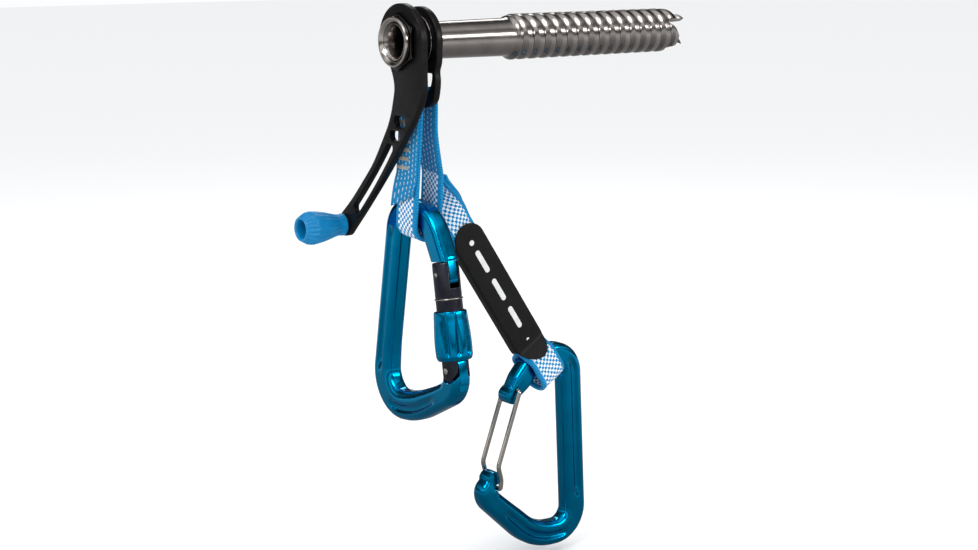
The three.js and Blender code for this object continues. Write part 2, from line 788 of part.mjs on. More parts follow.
const unitX = new THREE.Vector3(1, 0, 0);
const unitY = new THREE.Vector3(0, 1, 0);
const unitZ = new THREE.Vector3(0, 0, 1);
const acrossTube = board(new THREE.Vector3(), unitY.clone().negate(), unitZ);
const lockerBoard = board(new THREE.Vector3(locker.x, 0, 0), unitY.clone().negate(), unitZ);
const wiregateBoard = board(new THREE.Vector3(0, draw.y, 0), unitX, unitZ);

const w = head.washerThickness;
add(iceScrew, "screw_tube", screwTube(), steel);
add(iceScrew, "head_ring", headRing(), polishedSteel);
add(iceScrew, "hex_nut", hexNut(), gunmetal);
add(acrossTube, "crank_arm", crankArm(), blackAluminium);
add(iceScrew, "front_washer", ringAlongTube(-9.1, -9.1 + w, head.runningRadius, head.washerRadius), steel);
add(iceScrew, "hub_spool", ringAlongTube(-8.2, -4.3, head.runningRadius, head.spoolRadius), blackAluminium);
add(iceScrew, "rear_washer", ringAlongTube(-4.2, -4.2 + w, head.runningRadius, head.washerRadius), steel);
add(iceScrew, "retaining_ring", ringAlongTube(0.15, 1.15, head.runningRadius, 9.7), steel);

const knobAxle = new THREE.Group();
knobAxle.rotation.z = -Math.PI / 2;
knobAxle.position.set(0, -crank.tipX, crank.tipY);
iceScrew.add(knobAxle);
const washerProfile = [[2.5, -13.15], [4.4, -13.15], [4.4, -12.5], [2.5, -12.5]];
add(knobAxle, "knob", windingKnob(), bluePlastic);
add(knobAxle, "knob_washer", turned(washerProfile), steel);
add(knobAxle, "knob_pin", knobPin(), polishedSteel);

add(acrossTube, "hanger_plate", slab(hangerShape(), 0, plate.thickness, 10, 1, 1), blackAluminium);

// The sling hangs from the eye and leans to the side.
const slingBoard = board(new THREE.Vector3(0, 0, 0), unitX, unitZ);
const leaning = new THREE.Group();
leaning.position.set(0, plate.eyeY, 0);
leaning.rotation.x = sling.lean;
slingBoard.add(leaning);
const slingMesh = add(leaning, "hanger_sling", hangerSling(), blueTape);
slingMesh.position.y = -plate.eyeY;

add(lockerBoard, "locker_frame", lockerFrame(), blueAnodised);
const gateBoard = new THREE.Group();
gateBoard.position.set(gate.pivotX, gate.pivotY, 0);
gateBoard.rotation.z = gate.tilt;
lockerBoard.add(gateBoard);
const gatePin = pinAlongZ(0, 0, gate.pinRadius, -5.7, 5.7);
const latchPin = pinAlongZ(0, gate.latchY, gate.latchRadius, -5.7, 5.7);
add(gateBoard, "locker_gate", lockerGate(), gunmetal);
add(gateBoard, "locker_gate_pin", gatePin, polishedSteel);
add(gateBoard, "locker_latch_pin", latchPin, polishedSteel);
add(gateBoard, "locker_snap_ring", snapRing(), polishedSteel);
add(gateBoard, "locker_plunger", plunger(), steel);
add(gateBoard, "locker_gate_spring", gateSpring(), steel);
add(gateBoard, "locker_sleeve", lockingSleeve(), blueAnodised);

add(iceScrew, "draw_sling", drawSling(), checkerTape);
add(iceScrew, "draw_sleeve", drawSleeve(), blackPlastic);
add(wiregateBoard, "wiregate_frame", wiregateFrame(), blueAnodised);
add(wiregateBoard, "wire_gate", wireGate(), polishedSteel);

export default iceScrew;
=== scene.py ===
"""Looks for the ice screw: smooth metal, woven tape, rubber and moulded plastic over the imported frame.

Lengths below are millimetres from the tube's axis and the hanger plate's rear face: +X runs along the
tube to its teeth and +Z is up. The part's own origin is DROP higher, so every mesh is lowered by that.
"""
import math

import bmesh
import bpy
import numpy as np
from mathutils import Matrix, Vector


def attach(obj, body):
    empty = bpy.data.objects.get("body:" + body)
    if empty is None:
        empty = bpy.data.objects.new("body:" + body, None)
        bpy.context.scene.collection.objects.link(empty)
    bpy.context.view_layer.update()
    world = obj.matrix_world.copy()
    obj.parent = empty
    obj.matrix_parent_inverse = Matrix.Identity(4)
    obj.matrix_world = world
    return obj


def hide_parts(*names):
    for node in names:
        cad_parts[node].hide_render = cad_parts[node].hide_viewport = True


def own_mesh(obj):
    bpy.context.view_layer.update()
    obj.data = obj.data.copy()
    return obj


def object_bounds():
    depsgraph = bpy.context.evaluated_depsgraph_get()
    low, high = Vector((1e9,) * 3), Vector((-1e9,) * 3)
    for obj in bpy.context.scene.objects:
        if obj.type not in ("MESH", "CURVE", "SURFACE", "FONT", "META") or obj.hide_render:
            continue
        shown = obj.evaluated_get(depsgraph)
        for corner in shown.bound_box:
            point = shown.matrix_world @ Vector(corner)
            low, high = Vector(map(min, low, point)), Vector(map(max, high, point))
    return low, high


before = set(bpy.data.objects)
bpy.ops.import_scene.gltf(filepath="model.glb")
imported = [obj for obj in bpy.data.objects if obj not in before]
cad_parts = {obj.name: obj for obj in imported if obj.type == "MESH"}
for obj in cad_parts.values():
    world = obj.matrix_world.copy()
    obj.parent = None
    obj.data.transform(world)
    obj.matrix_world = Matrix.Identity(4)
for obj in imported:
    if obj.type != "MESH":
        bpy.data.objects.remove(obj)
cad_low, cad_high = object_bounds()
MM = 0.001
DROP = 12.2
TAU = 2 * math.pi


# ------------------------------------------------------------------ small maths

def lerp(a, b, t):
    return a + (b - a) * t


def clamp(t, low=0.0, high=1.0):
    return max(low, min(high, t))


def ease(x, low, high):
    """0 below low, 1 above high and a smooth rise between them."""
    t = clamp((x - low) / (high - low))
    return t * t * (3 - 2 * t)


def unit(v):
    v = np.array(v, float)
    return v / np.linalg.norm(v)


def arc_points(centre, radius, start, end, count):
    """Points on an arc, angles in degrees."""
    return [
        (centre[0] + radius * math.cos(math.radians(a)), centre[1] + radius * math.sin(math.radians(a)))
        for a in np.linspace(start, end, count)
    ]


def filleted(corners, closed=False, step=1.0):
    """Points along straight runs with round corners. A corner is (x, y, radius)."""
    points = []
    count = len(corners)
    for i, (x, y, radius) in enumerate(corners):
        here = np.array([x, y], float)
        if radius == 0 or (not closed and i in (0, count - 1)):
            points.append(here)
            continue
        before = unit(np.array(corners[i - 1][:2]) - here)
        after = unit(np.array(corners[(i + 1) % count][:2]) - here)
        half = math.acos(clamp(float(before @ after), -1, 1)) / 2
        reach = radius / math.tan(half)
        centre = here + unit(before + after) * radius / math.sin(half)
        a = here + before * reach - centre
        b = here + after * reach - centre
        start, end = math.atan2(a[1], a[0]), math.atan2(b[1], b[0])
        turn = (end - start + math.pi) % TAU - math.pi
        steps = max(4, int(abs(turn) * radius / step))
        for k in range(steps + 1):
            angle = start + turn * k / steps
            points.append(centre + radius * np.array([math.cos(angle), math.sin(angle)]))
    return np.array(points)


def resample(points, count, closed=False):
    """The same line as evenly spaced points."""
    line = np.array(points, float)
    if closed:
        line = np.vstack([line, line[:1]])
    lengths = np.concatenate([[0], np.cumsum(np.linalg.norm(np.diff(line, axis=0), axis=1))])
    wanted = np.linspace(0, lengths[-1], count + 1 if closed else count)
    if closed:
        wanted = wanted[:-1]
    columns = [np.interp(wanted, lengths, line[:, k]) for k in range(line.shape[1])]
    return np.stack(columns, axis=1), wanted


def catmull(points, per_span=10):
    """A smooth line through all the points."""
    p = np.array(points, float)
    p = np.vstack([2 * p[0] - p[1], p, 2 * p[-1] - p[-2]])
    out = []
    for i in range(1, len(p) - 2):
        for k in range(per_span):
            t = k / per_span
            a, b, c, d = p[i - 1], p[i], p[i + 1], p[i + 2]
            out.append(
                0.5 * (2 * b + (c - a) * t + (2 * a - 5 * b + 4 * c - d) * t**2 + (3 * b - a - 3 * c + d) * t**3)
            )
    out.append(p[-2])
    return np.array(out)


# ------------------------------------------------------------------ meshes

def metres(point):
    x, y, z = (float(c) for c in point)
    return x * MM, y * MM, (z - DROP) * MM


def mesh_piece(name, points, faces, material, uv=None, sharp=40):
    """An object from points in millimetres. uv, if given, holds one pair for each face corner."""
    mesh = bpy.data.meshes.new(name)
    mesh.from_pydata([metres(p) for p in points], [], faces)
    if uv is not None:
        layer = mesh.uv_layers.new(name="weave")
        layer.data.foreach_set("uv", np.array(uv, np.float32).ravel())
    mesh.validate()
    bm = bmesh.new()
    bm.from_mesh(mesh)
    bmesh.ops.remove_doubles(bm, verts=bm.verts, dist=1e-7)
    bmesh.ops.recalc_face_normals(bm, faces=bm.faces)
    bm.to_mesh(mesh)
    bm.free()
    mesh.shade_smooth()
    mesh.set_sharp_from_angle(angle=math.radians(sharp))
    piece = bpy.data.objects.new(name, mesh)
    bpy.context.scene.collection.objects.link(piece)
    mesh.materials.append(material)
    return piece


def dress(piece, body, slot, *nodes):
    """Puts a piece on its body and hides the CAD nodes it stands for. slot is not used."""
    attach(piece, body)
    if nodes:
        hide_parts(*nodes)
    return piece


def grid_faces(rows, columns, wrap_rows=False, wrap_columns=True):
    faces = []
    for r in range(rows if wrap_rows else rows - 1):
        for c in range(columns if wrap_columns else columns - 1):
            r2, c2 = (r + 1) % rows, (c + 1) % columns
            faces.append((r * columns + c, r * columns + c2, r2 * columns + c2, r2 * columns + c))
    return faces


def revolve(name, profile, material, columns=96, shape=None, origin=(0, 0, 0), axis=(1, 0, 0), sharp=40):
    """A turned piece. The profile is a closed list of (radius, height along the axis).
    shape(radius, height, angle) may change a radius. Angles on the tube run from +Y toward +Z."""
    axis = unit(axis)
    side = unit(np.cross([0, 0, 1], axis)) if abs(axis[2]) < 0.9 else np.array([1.0, 0, 0])
    other = np.cross(axis, side)
    points = []
    for radius, height in profile:
        for k in range(columns):
            angle = TAU * k / columns
            r = shape(radius, height, angle) if shape else radius
            points.append(np.array(origin) + axis * height + r * (side * math.cos(angle) + other * math.sin(angle)))
    faces = grid_faces(len(profile), columns, wrap_rows=True)
    return mesh_piece(name, points, faces, material, sharp=sharp)


def softened(profile, radius=0.3, steps=3):
    """A closed profile with every corner rounded off."""
    out = []
    count = len(profile)
    for i, corner in enumerate(profile):
        here = np.array(corner, float)
        before = np.array(profile[i - 1], float) - here
        after = np.array(profile[(i + 1) % count], float) - here
        cut = min(radius, np.linalg.norm(before) * 0.45, np.linalg.norm(after) * 0.45)
        a = here + unit(before) * cut
        b = here + unit(after) * cut
        for k in range(steps + 1):
            t = k / steps
            out.append(tuple((1 - t) ** 2 * a + 2 * t * (1 - t) * here + t**2 * b))
    return out


def plate(name, outline, holes, low, high, material, place, bevel=0.35):
    """A flat plate between two heights, with soft edges. place turns (x, y, z) into the part's frame."""
    curve = bpy.data.curves.new(name, "CURVE")
    curve.dimensions = "2D"
    curve.fill_mode = "BOTH"
    curve.extrude = ((high - low) / 2 - bevel) * MM
    curve.bevel_depth = bevel * MM
    curve.bevel_resolution = 3
    for loop in [outline, *holes]:
        shrunk = inset(loop, bevel if loop is outline else -bevel)
        spline = curve.splines.new("POLY")
        spline.points.add(len(shrunk) - 1)
        for point, (x, y) in zip(spline.points, shrunk):
            point.co = (x * MM, y * MM, 0, 1)
        spline.use_cyclic_u = True
    lifted = bpy.data.objects.new(name + "_curve", curve)
    bpy.context.scene.collection.objects.link(lifted)
    bpy.context.view_layer.update()
    mesh = bpy.data.meshes.new_from_object(lifted.evaluated_get(bpy.context.evaluated_depsgraph_get()))
    bpy.data.objects.remove(lifted)
    points = [place(v.co.x / MM, v.co.y / MM, v.co.z / MM + (low + high) / 2) for v in mesh.vertices]
    faces = [tuple(p.vertices) for p in mesh.polygons]
    bpy.data.meshes.remove(mesh)
    return mesh_piece(name, points, faces, material, sharp=50)


def inset(loop, distance):
    """A closed line moved towards its inside by a distance."""
    p = np.array(loop, float)
    area = np.sum(p[:, 0] * np.roll(p[:, 1], -1) - p[:, 1] * np.roll(p[:, 0], -1))
    run = np.roll(p, -1, axis=0) - np.roll(p, 1, axis=0)
    run /= np.maximum(np.linalg.norm(run, axis=1), 1e-9)[:, None]
    inward = np.stack([-run[:, 1], run[:, 0]], axis=1) * (1 if area > 0 else -1)
    return p + inward * distance


def sweep(name, centres, rights, ups, section, material, closed=False, uv=False, sharp=40):
    """A solid along a line. section(i) gives the (right, up) offsets at station i."""
    points, count = [], len(section(0))
    for i, centre in enumerate(centres):
        for x, y in section(i):
            points.append(centre + rights[i] * x + ups[i] * y)
    rows = len(centres)
    faces = grid_faces(rows, count, wrap_rows=closed)
    if not closed:
        faces.append(tuple(range(count)))
        faces.append(tuple(range((rows - 1) * count, rows * count)))
    return mesh_piece(name, points, faces, material, sharp=sharp)


def join_pieces(keep, *others):
    """Joins meshes into the first one, keeping each one's material."""
    bm = bmesh.new()
    bm.from_mesh(keep.data)
    for other in others:
        offset = len(keep.data.materials)
        start = len(bm.faces)
        bm.from_mesh(other.data)
        bm.faces.ensure_lookup_table()
        same = [keep.data.materials.find(m.name) for m in other.data.materials]
        for k, found in enumerate(same):
            if found < 0:
                keep.data.materials.append(other.data.materials[k])
                same[k] = offset
                offset += 1
        for face in bm.faces[start:]:
            face.material_index = same[face.material_index]
    bm.to_mesh(keep.data)
    bm.free()
    for other in others:
        bpy.data.objects.remove(other)
    keep.data.set_sharp_from_angle(angle=math.radians(40))
    return keep


def carve(piece, *cutters, operation="DIFFERENCE", soften=0.0):
    """Cuts (or adds) closed pieces, then softens the new edges."""
    for cutter in cutters:
        step = piece.modifiers.new("cut", "BOOLEAN")
        step.operation = operation
        step.solver = "EXACT"
        step.object = cutter
    if soften:
        edge = piece.modifiers.new("soft", "BEVEL")
        edge.width = soften * MM
        edge.segments = 2
        edge.limit_method = "ANGLE"
        edge.angle_limit = math.radians(40)
        edge.use_clamp_overlap = True
    bpy.context.view_layer.update()
    made = bpy.data.meshes.new_from_object(piece.evaluated_get(bpy.context.evaluated_depsgraph_get()))
    piece.modifiers.clear()
    piece.data = made
    made.shade_smooth()
    made.set_sharp_from_angle(angle=math.radians(35))
    for cutter in cutters:
        bpy.data.objects.remove(cutter)
    return piece


def prism(name, outline, low, high, place, material):
    """A plain slab, used as a cutter or as the start of a carved piece."""
    points = [place(x, y, z) for z in (low, high) for x, y in outline]
    n = len(outline)
    faces = [tuple(range(n))[::-1], tuple(range(n, 2 * n))]
    faces += [(k, (k + 1) % n, n + (k + 1) % n, n + k) for k in range(n)]
    return mesh_piece(name, points, faces, material)


def rod(name, line, radius, material, sides=16, closed=False):
    """A round wire along a line of 3-D points, with flat ends where it is open."""
    p = np.array(line, float)
    n = len(p)
    run = np.roll(p, -1, axis=0) - np.roll(p, 1, axis=0)
    if not closed:
        run[0], run[-1] = p[1] - p[0], p[-1] - p[-2]
    run = np.array([unit(r) for r in run])
    start = np.cross(run[0], [0.3, 0.5, 0.8])
    rights = [unit(start)]
    for i in range(1, n):
        r = rights[-1] - run[i] * (rights[-1] @ run[i])
        rights.append(unit(r))
    rights = np.array(rights)
    ups = np.cross(run, rights)
    ring = [(radius * math.cos(TAU * k / sides), radius * math.sin(TAU * k / sides)) for k in range(sides)]
    return sweep(name, p, rights, ups, lambda i: ring, material, closed=closed)


# ------------------------------------------------------------------ finishes

class Shader:
    """Short-hand for building a material out of nodes."""

    def __init__(self, name):
        self.material = bpy.data.materials.new(name)
        self.material.use_nodes = True
        self.nodes = self.material.node_tree.nodes
        self.links = self.material.node_tree.links
        self.surface = self.nodes["Principled BSDF"]

    def put(self, socket, value):
        if isinstance(value, bpy.types.NodeSocket):
            self.links.new(value, socket)
        else:
            socket.default_value = value

    def math(self, operation, *values):
        node = self.nodes.new("ShaderNodeMath")
        node.operation = operation
        for socket, value in zip(node.inputs, values):
            self.put(socket, value)
        return node.outputs[0]

    def mix(self, share, a, b):
        node = self.nodes.new("ShaderNodeMix")
        node.data_type = "RGBA"
        for index, value in ((0, share), (6, a), (7, b)):
            self.put(node.inputs[index], value)
        return node.outputs[2]

    def span(self, value, low, high, start=0.0, end=1.0):
        """Maps low..high on to start..end, clamped."""
        node = self.nodes.new("ShaderNodeMapRange")
        for index, number in enumerate((value, low, high, start, end)):
            self.put(node.inputs[index], number)
        return node.outputs[0]

    def place(self, stretch=(1, 1, 1)):
        """The piece's own coordinates in millimetres, each axis stretched."""
        coordinates = self.nodes.new("ShaderNodeTexCoord")
        scaled = self.nodes.new("ShaderNodeMapping")
        scaled.inputs["Scale"].default_value = [1000 * s for s in stretch]
        self.links.new(coordinates.outputs["Object"], scaled.inputs["Vector"])
        return scaled.outputs[0]

    def noise(self, scale, detail=3.0, stretch=(1, 1, 1)):
        node = self.nodes.new("ShaderNodeTexNoise")
        self.put(node.inputs["Vector"], self.place(stretch))
        self.put(node.inputs["Scale"], scale)
        self.put(node.inputs["Detail"], detail)
        return node.outputs[0]

    def bump(self, height, distance, strength=1.0):
        node = self.nodes.new("ShaderNodeBump")
        self.put(node.inputs["Height"], height)
        self.put(node.inputs["Distance"], distance * MM)
        self.put(node.inputs["Strength"], strength)
        self.links.new(node.outputs[0], self.surface.inputs["Normal"])

    def edges(self, radius):
        """1 along edges and 0 on open faces."""
        bevel = self.nodes.new("ShaderNodeBevel")
        bevel.samples = 6
        self.put(bevel.inputs["Radius"], radius * MM)
        geometry = self.nodes.new("ShaderNodeNewGeometry")
        dot = self.nodes.new("ShaderNodeVectorMath")
        dot.operation = "DOT_PRODUCT"
        self.links.new(bevel.outputs[0], dot.inputs[0])
        self.links.new(geometry.outputs["Normal"], dot.inputs[1])
        return self.span(dot.outputs["Value"], 0.995, 0.9)

    def finish(self, **inputs):
        for name, value in inputs.items():
            self.put(self.surface.inputs[name.replace("_", " ")], value)
        return self.material


def metal(name, colour, light, roughness, grain=6.0, stretch=(1, 1, 1), edge_wear_and_highlight=None, texture=0.01, metallic=1.0,
          shine=0.5):
    """A metal that varies a little between two colours, with a fine grain and, if asked, lighter edges that are partly
    wear and partly a painted highlight.
    """
    s = Shader(name)
    patches = s.noise(0.12, 4.0)
    base = s.mix(s.span(patches, 0.35, 0.7), (*colour, 1), (*light, 1))
    # Lighter colour along the edges, broken up by noise: partly wear, partly a painted highlight where edges catch the
    # light.
    if edge_wear_and_highlight:
        edge_wear_and_highlight_share = s.math("MULTIPLY", s.edges(0.35), s.span(s.noise(0.8), 0.3, 0.6, 0.25, 1.0))
        base = s.mix(edge_wear_and_highlight_share, base, (*edge_wear_and_highlight, 1))
    fine = s.noise(grain, 4.0, stretch)
    s.bump(fine, texture)
    rough = s.span(s.noise(0.5, 5.0, stretch), 0.3, 0.7, roughness * 0.8, roughness * 1.25)
    return s.finish(Base_Color=base, Metallic=metallic, Roughness=rough, Specular_IOR_Level=shine)


def moulded(name, colour, light, roughness, grain=5.0, texture=0.02, shine=0.4):
    """A moulded plastic or rubber."""
    s = Shader(name)
    base = s.mix(s.span(s.noise(0.2), 0.3, 0.7), (*colour, 1), (*light, 1))
    s.bump(s.noise(grain, 5.0), texture)
    rough = s.span(s.noise(1.5), 0.3, 0.7, roughness * 0.85, roughness * 1.15)
    return s.finish(Base_Color=base, Roughness=rough, Specular_IOR_Level=shine)


def woven(name, pattern, blue, pale, border_low, border_high, cell=1.15):
    """Tape woven from two yarns. Its UVs are millimetres: u runs along the tape and v across it.
    pattern is "checker", "dashes" or "plain"; v outside the borders is plain blue."""
    s = Shader(name)
    coordinates = s.nodes.new("ShaderNodeUVMap")
    coordinates.uv_map = "weave"
    split = s.nodes.new("ShaderNodeSeparateXYZ")
    s.links.new(coordinates.outputs[0], split.inputs[0])
    wobble = s.math("MULTIPLY", s.math("SUBTRACT", s.noise(0.9, 2.0), 0.5), 0.5)
    u = s.math("ADD", split.outputs[0], wobble)
    v = s.math("ADD", split.outputs[1], wobble)
    if pattern == "checker":
        step = s.math("ADD", s.math("FLOOR", s.math("DIVIDE", u, cell)), s.math("FLOOR", s.math("DIVIDE", v, cell)))
        mark = s.math("FLOORED_MODULO", step, 2.0)
    elif pattern == "dashes":
        column = s.math("DIVIDE", v, 2.5)
        shift = s.math("MULTIPLY", s.math("FLOOR", column), 0.5)
        along = s.math("FRACT", s.math("ADD", s.math("DIVIDE", u, 2.2), shift))
        slim = s.math("LESS_THAN", s.math("FRACT", column), 0.26)
        mark = s.math("MULTIPLY", s.math("LESS_THAN", along, 0.55), slim)
    else:
        mark = s.math("MULTIPLY", v, 0.0)
    inside = s.math("MULTIPLY", s.math("GREATER_THAN", v, border_low), s.math("LESS_THAN", v, border_high))
    share = s.math("MULTIPLY", s.math("MULTIPLY", mark, inside), 0.92 if pattern == "checker" else 0.5)
    base = s.mix(share, (*blue, 1), (*pale, 1))
    weft = s.math("SINE", s.math("MULTIPLY", u, TAU / 1.25))
    warp = s.math("SINE", s.math("MULTIPLY", v, TAU / 1.3))
    weave = s.math("MULTIPLY", weft, warp)
    shade = s.span(weave, -1.0, 1.0, 0.5 if pattern != "checker" else 0.72, 1.1)
    dark = s.nodes.new("ShaderNodeHueSaturation")
    s.put(dark.inputs["Color"], base)
    s.put(dark.inputs["Value"], shade)
    fuzz = s.math("MULTIPLY", s.noise(7.0, 3.0), 0.6)
    s.bump(s.math("ADD", weave, fuzz), 0.16, 0.9)
    material = s.finish(Base_Color=dark.outputs[0], Roughness=0.78)
    s.put(s.surface.inputs["Sheen Weight"], 0.04)
    s.put(s.surface.inputs["Specular IOR Level"], 0.2)
    return material


STEEL = metal("tube_steel_look", (0.33, 0.3, 0.285), (0.4, 0.37, 0.355), 0.17, 5.0, (0.3, 2, 2), (0.5, 0.47, 0.45))
POLISHED = metal("polished_steel_look", (0.5, 0.46, 0.43), (0.58, 0.54, 0.5), 0.12, 8.0)
BLACK = metal(
    "black_aluminium_look", (0.005, 0.0045, 0.005), (0.008, 0.007, 0.008), 0.36, 4.0, (1, 1, 1), (0.07, 0.065, 0.065),
    0.03, 0.3, 0.25,
)
BLUE = metal("blue_anodised_look", (0.0, 0.27, 0.54), (0.0, 0.31, 0.6), 0.17, 5.0, (1, 1, 1), (0.04, 0.3, 0.5), 0.008)
# Steel for the hex nut, painted near-black: painted shade and painted dark reflection on plain steel.
STEEL_IN_PAINTED_SHADE = metal("steel_in_painted_shade_look", (0.03, 0.028, 0.03), (0.05, 0.047, 0.05), 0.2, 6.0, (1, 1, 1), (0.3, 0.29, 0.28))
GUN = metal("gunmetal_look", (0.035, 0.035, 0.05), (0.055, 0.055, 0.075), 0.3, 5.0, (1, 1, 1), (0.16, 0.16, 0.19))
PLASTIC = moulded("blue_plastic_look", (0.0, 0.18, 0.42), (0.0, 0.21, 0.47), 0.32)
RUBBER = moulded("black_rubber_look", (0.004, 0.004, 0.004), (0.006, 0.006, 0.006), 0.45, 4.0, 0.02, 0.22)
PRINT = moulded("pale_print_look", (0.6, 0.6, 0.6), (0.68, 0.68, 0.68), 0.6)
YARN_BLUE = (0.0, 0.24, 0.53)
YARN_PALE = (0.95, 0.96, 1.0)
FACE = woven("sling_face_look", "dashes", YARN_BLUE, YARN_PALE, -7.2, 7.0)
BACK = woven("sling_back_look", "checker", YARN_BLUE, YARN_PALE, -5.4, 5.4, 1.35)
CHECK = woven("draw_check_look", "checker", YARN_BLUE, YARN_PALE, -5.6, 5.9, 1.35)
PLAIN = woven("sling_edge_look", "plain", YARN_BLUE, YARN_PALE, -9, 9)
THREAD = moulded("stitch_thread_look", (0.3, 0.28, 0.25), (0.42, 0.4, 0.36), 0.8, 8.0, 0.05)
DARK_THREAD = moulded("dark_thread_look", (0.012, 0.02, 0.035), (0.02, 0.03, 0.05), 0.8, 8.0, 0.05)


# ------------------------------------------------------------------ where the flat pieces are drawn

def on_tube(x, y, z):
    """Drawn as seen from the head, in the plane across the tube."""
    return (-z, -x, y)


def on_locker(x, y, z):
    return (0.4 - z, -x, y)


GATE_PIVOT = np.array([22.4, -142.0])
GATE_TILT = math.radians(9.5)


def on_gate(x, y, z):
    """Drawn with the hinge pin at the origin and the barrel along y."""
    c, s = math.cos(GATE_TILT), math.sin(GATE_TILT)
    return on_locker(GATE_PIVOT[0] + c * x - s * y, GATE_PIVOT[1] + s * x + c * y, z)


def on_wiregate(x, y, z):
    return (x, 4.5 - z, y)


def direction(place, x, y, z):
    return np.array(place(x, y, z)) - np.array(place(0, 0, 0))


def circle(x, y, radius, count=64):
    return [(x + radius * math.cos(TAU * k / count), y + radius * math.sin(TAU * k / count)) for k in range(count)]


def rounded_box(x, y, width, height, radius):
    w, h = width / 2, height / 2
    return filleted([(x + w, y - h, radius), (x + w, y + h, radius), (x - w, y + h, radius), (x - w, y - h, radius)],
                    True, 0.4)


# ------------------------------------------------------------------ screw

TUBE_END = 147.2
TOOTH = 11.0
PITCH = 6.39
FIRST_GROOVE = 45.03
THREAD_START = 44.0
RIB = 10.25


def tooth_edge(angle):
    """Where the tube ends at an angle: a steep face below each tip, then a rise to the next tip."""
    share = ((angle - math.radians(52)) % (TAU / 4)) / (TAU / 4)
    steep = 0.035
    if share < steep:
        return TUBE_END - TOOTH * share / steep
    rise = (share - steep) / (1 - steep)
    return TUBE_END - TOOTH * (1 - rise)


def thread_radius(height, angle):
    shank = 8 + 0.5 * clamp(height / THREAD_START)
    step = ease(height, THREAD_START, THREAD_START + 3)
    ground = 1.5 * ease(height, TUBE_END - TOOTH, TUBE_END)
    turns = (height - FIRST_GROOVE) / PITCH - angle / TAU
    from_groove = abs(turns - round(turns)) * PITCH
    in_groove = max(0.0, 1 - from_groove / 2.1)
    depth = 1.6 * math.sin(in_groove * math.pi / 2) ** 2
    return lerp(shank, RIB, step) - depth * ease(height, THREAD_START + 1.5, THREAD_START + 4) - ground


def screw_tube():
    columns = 192
    zone = TUBE_END - TOOTH - 1.5
    heights = [*np.linspace(-15.4, THREAD_START, 24), *np.arange(THREAD_START + 0.3, zone, 0.36)]
    beyond = np.linspace(0, 1, 40)
    points = []

    def ring(radius_at, height_at):
        for k in range(columns):
            angle = TAU * k / columns
            height = height_at(angle)
            radius = radius_at(height, angle)
            points.append((height, radius * math.cos(angle), radius * math.sin(angle)))

    def last(share):
        return lambda angle: lerp(zone, tooth_edge(angle), share)

    ring(lambda h, a: 7.7, lambda a: -15.5)
    ring(lambda h, a: 7.85, lambda a: -15.5)
    for height in heights:
        ring(thread_radius, lambda angle, h=height: h)
    for share in beyond:
        ring(thread_radius, last(share))
    ring(lambda h, a: 7.2, lambda a: tooth_edge(a) - 0.15)
    ring(lambda h, a: 6.6, lambda a: tooth_edge(a) - 0.8)
    for share in beyond[::-1]:
        ring(lambda h, a: 6.6, lambda a, s=share: lerp(zone, tooth_edge(a), s) - 0.9 * s)
    for height in np.linspace(zone, -14.2, 20):
        ring(lambda h, a: 6.6, lambda a, h=height: h)
    rows = len(points) // columns
    piece = mesh_piece("tube", points, grid_faces(rows, columns, wrap_rows=True), STEEL, sharp=48)
    return dress(piece, "screw", "tube_steel", "screw_tube")


def head():
    rim = [(8.35, -14.7), (8.35, -15.3), (8.7, -15.7), (9.3, -16.2), (9.8, -16.6), (10.15, -16.7), (10.55, -16.6),
           (10.8, -16.2), (10.8, -14.7)]
    ring = revolve("head_mouth", softened(rim, 0.12), POLISHED, 144, sharp=70)
    dress(ring, "screw", "polished_steel", "head_ring")
    corners = [(12.7 * math.sin(TAU * k / 6), 12.7 * math.cos(TAU * k / 6), 0.7) for k in range(6)]
    # The hexagon's near-black colour is painted shade and painted dark reflection, not a finish of its own.
    nut = plate(
        "head_hexagon", filleted(corners, True, 0.3), [circle(0, 0, 8.4, 96)], 12.5, 14.4, STEEL_IN_PAINTED_SHADE, on_tube, 0.3,
    )
    chamfer = revolve("nut_chamfer", [(8, -14.4), (11.6, -14.4), (13.4, -13.1), (13.4, -12), (8, -12)], STEEL_IN_PAINTED_SHADE)
    carve(nut, chamfer, operation="INTERSECT")
    dress(nut, "screw", "gunmetal", "hex_nut")


def crank_outline():
    outline = arc_points((0, 0), 16.3, 183.6, 0, 60)
    right = [(16.3, -12), (16, -21.5), (11.3, -30.6), (2.9, -41.1), (-11.5, -57.5), (-27.4, -74), (-41, -87.3)]
    left = [(-41, -73.6), (-32.8, -65.6), (-22.6, -54.9), (-14.6, -43.7), (-9.2, -35), (-6, -26), (-4.9, -18.6),
            (-8.2, -10.6), (-13.4, -6)]
    tip = arc_points((-46.7, -85.4), 5.4, -45, -225, 30)
    line = [*outline, *catmull([outline[-1], *right])[1:], *tip, *catmull([tip[-1], *left])[1:]]
    return resample(line, 420, True)[0]


def crank_slot():
    start, bend, end = np.array([-9, -46.6]), np.array([-19.4, -60.2]), np.array([-36.4, -76.8])
    shares = np.linspace(0, 1, 40)[:, None]
    line = (1 - shares) ** 2 * start + 2 * shares * (1 - shares) * bend + shares**2 * end
    run = np.gradient(line, axis=0)
    run /= np.linalg.norm(run, axis=1)[:, None]
    side = np.stack([-run[:, 1], run[:, 0]], axis=1) * 2.3

    def cap(centre, heading):
        return [
            centre + 2.3 * (math.cos(a) * heading + math.sin(a) * np.array([heading[1], -heading[0]]))
            for a in np.linspace(-math.pi / 2, math.pi / 2, 14)[1:-1]
        ]

    return [*(line + side), *cap(line[-1], run[-1]), *(line - side)[::-1], *cap(line[0], -run[0])]


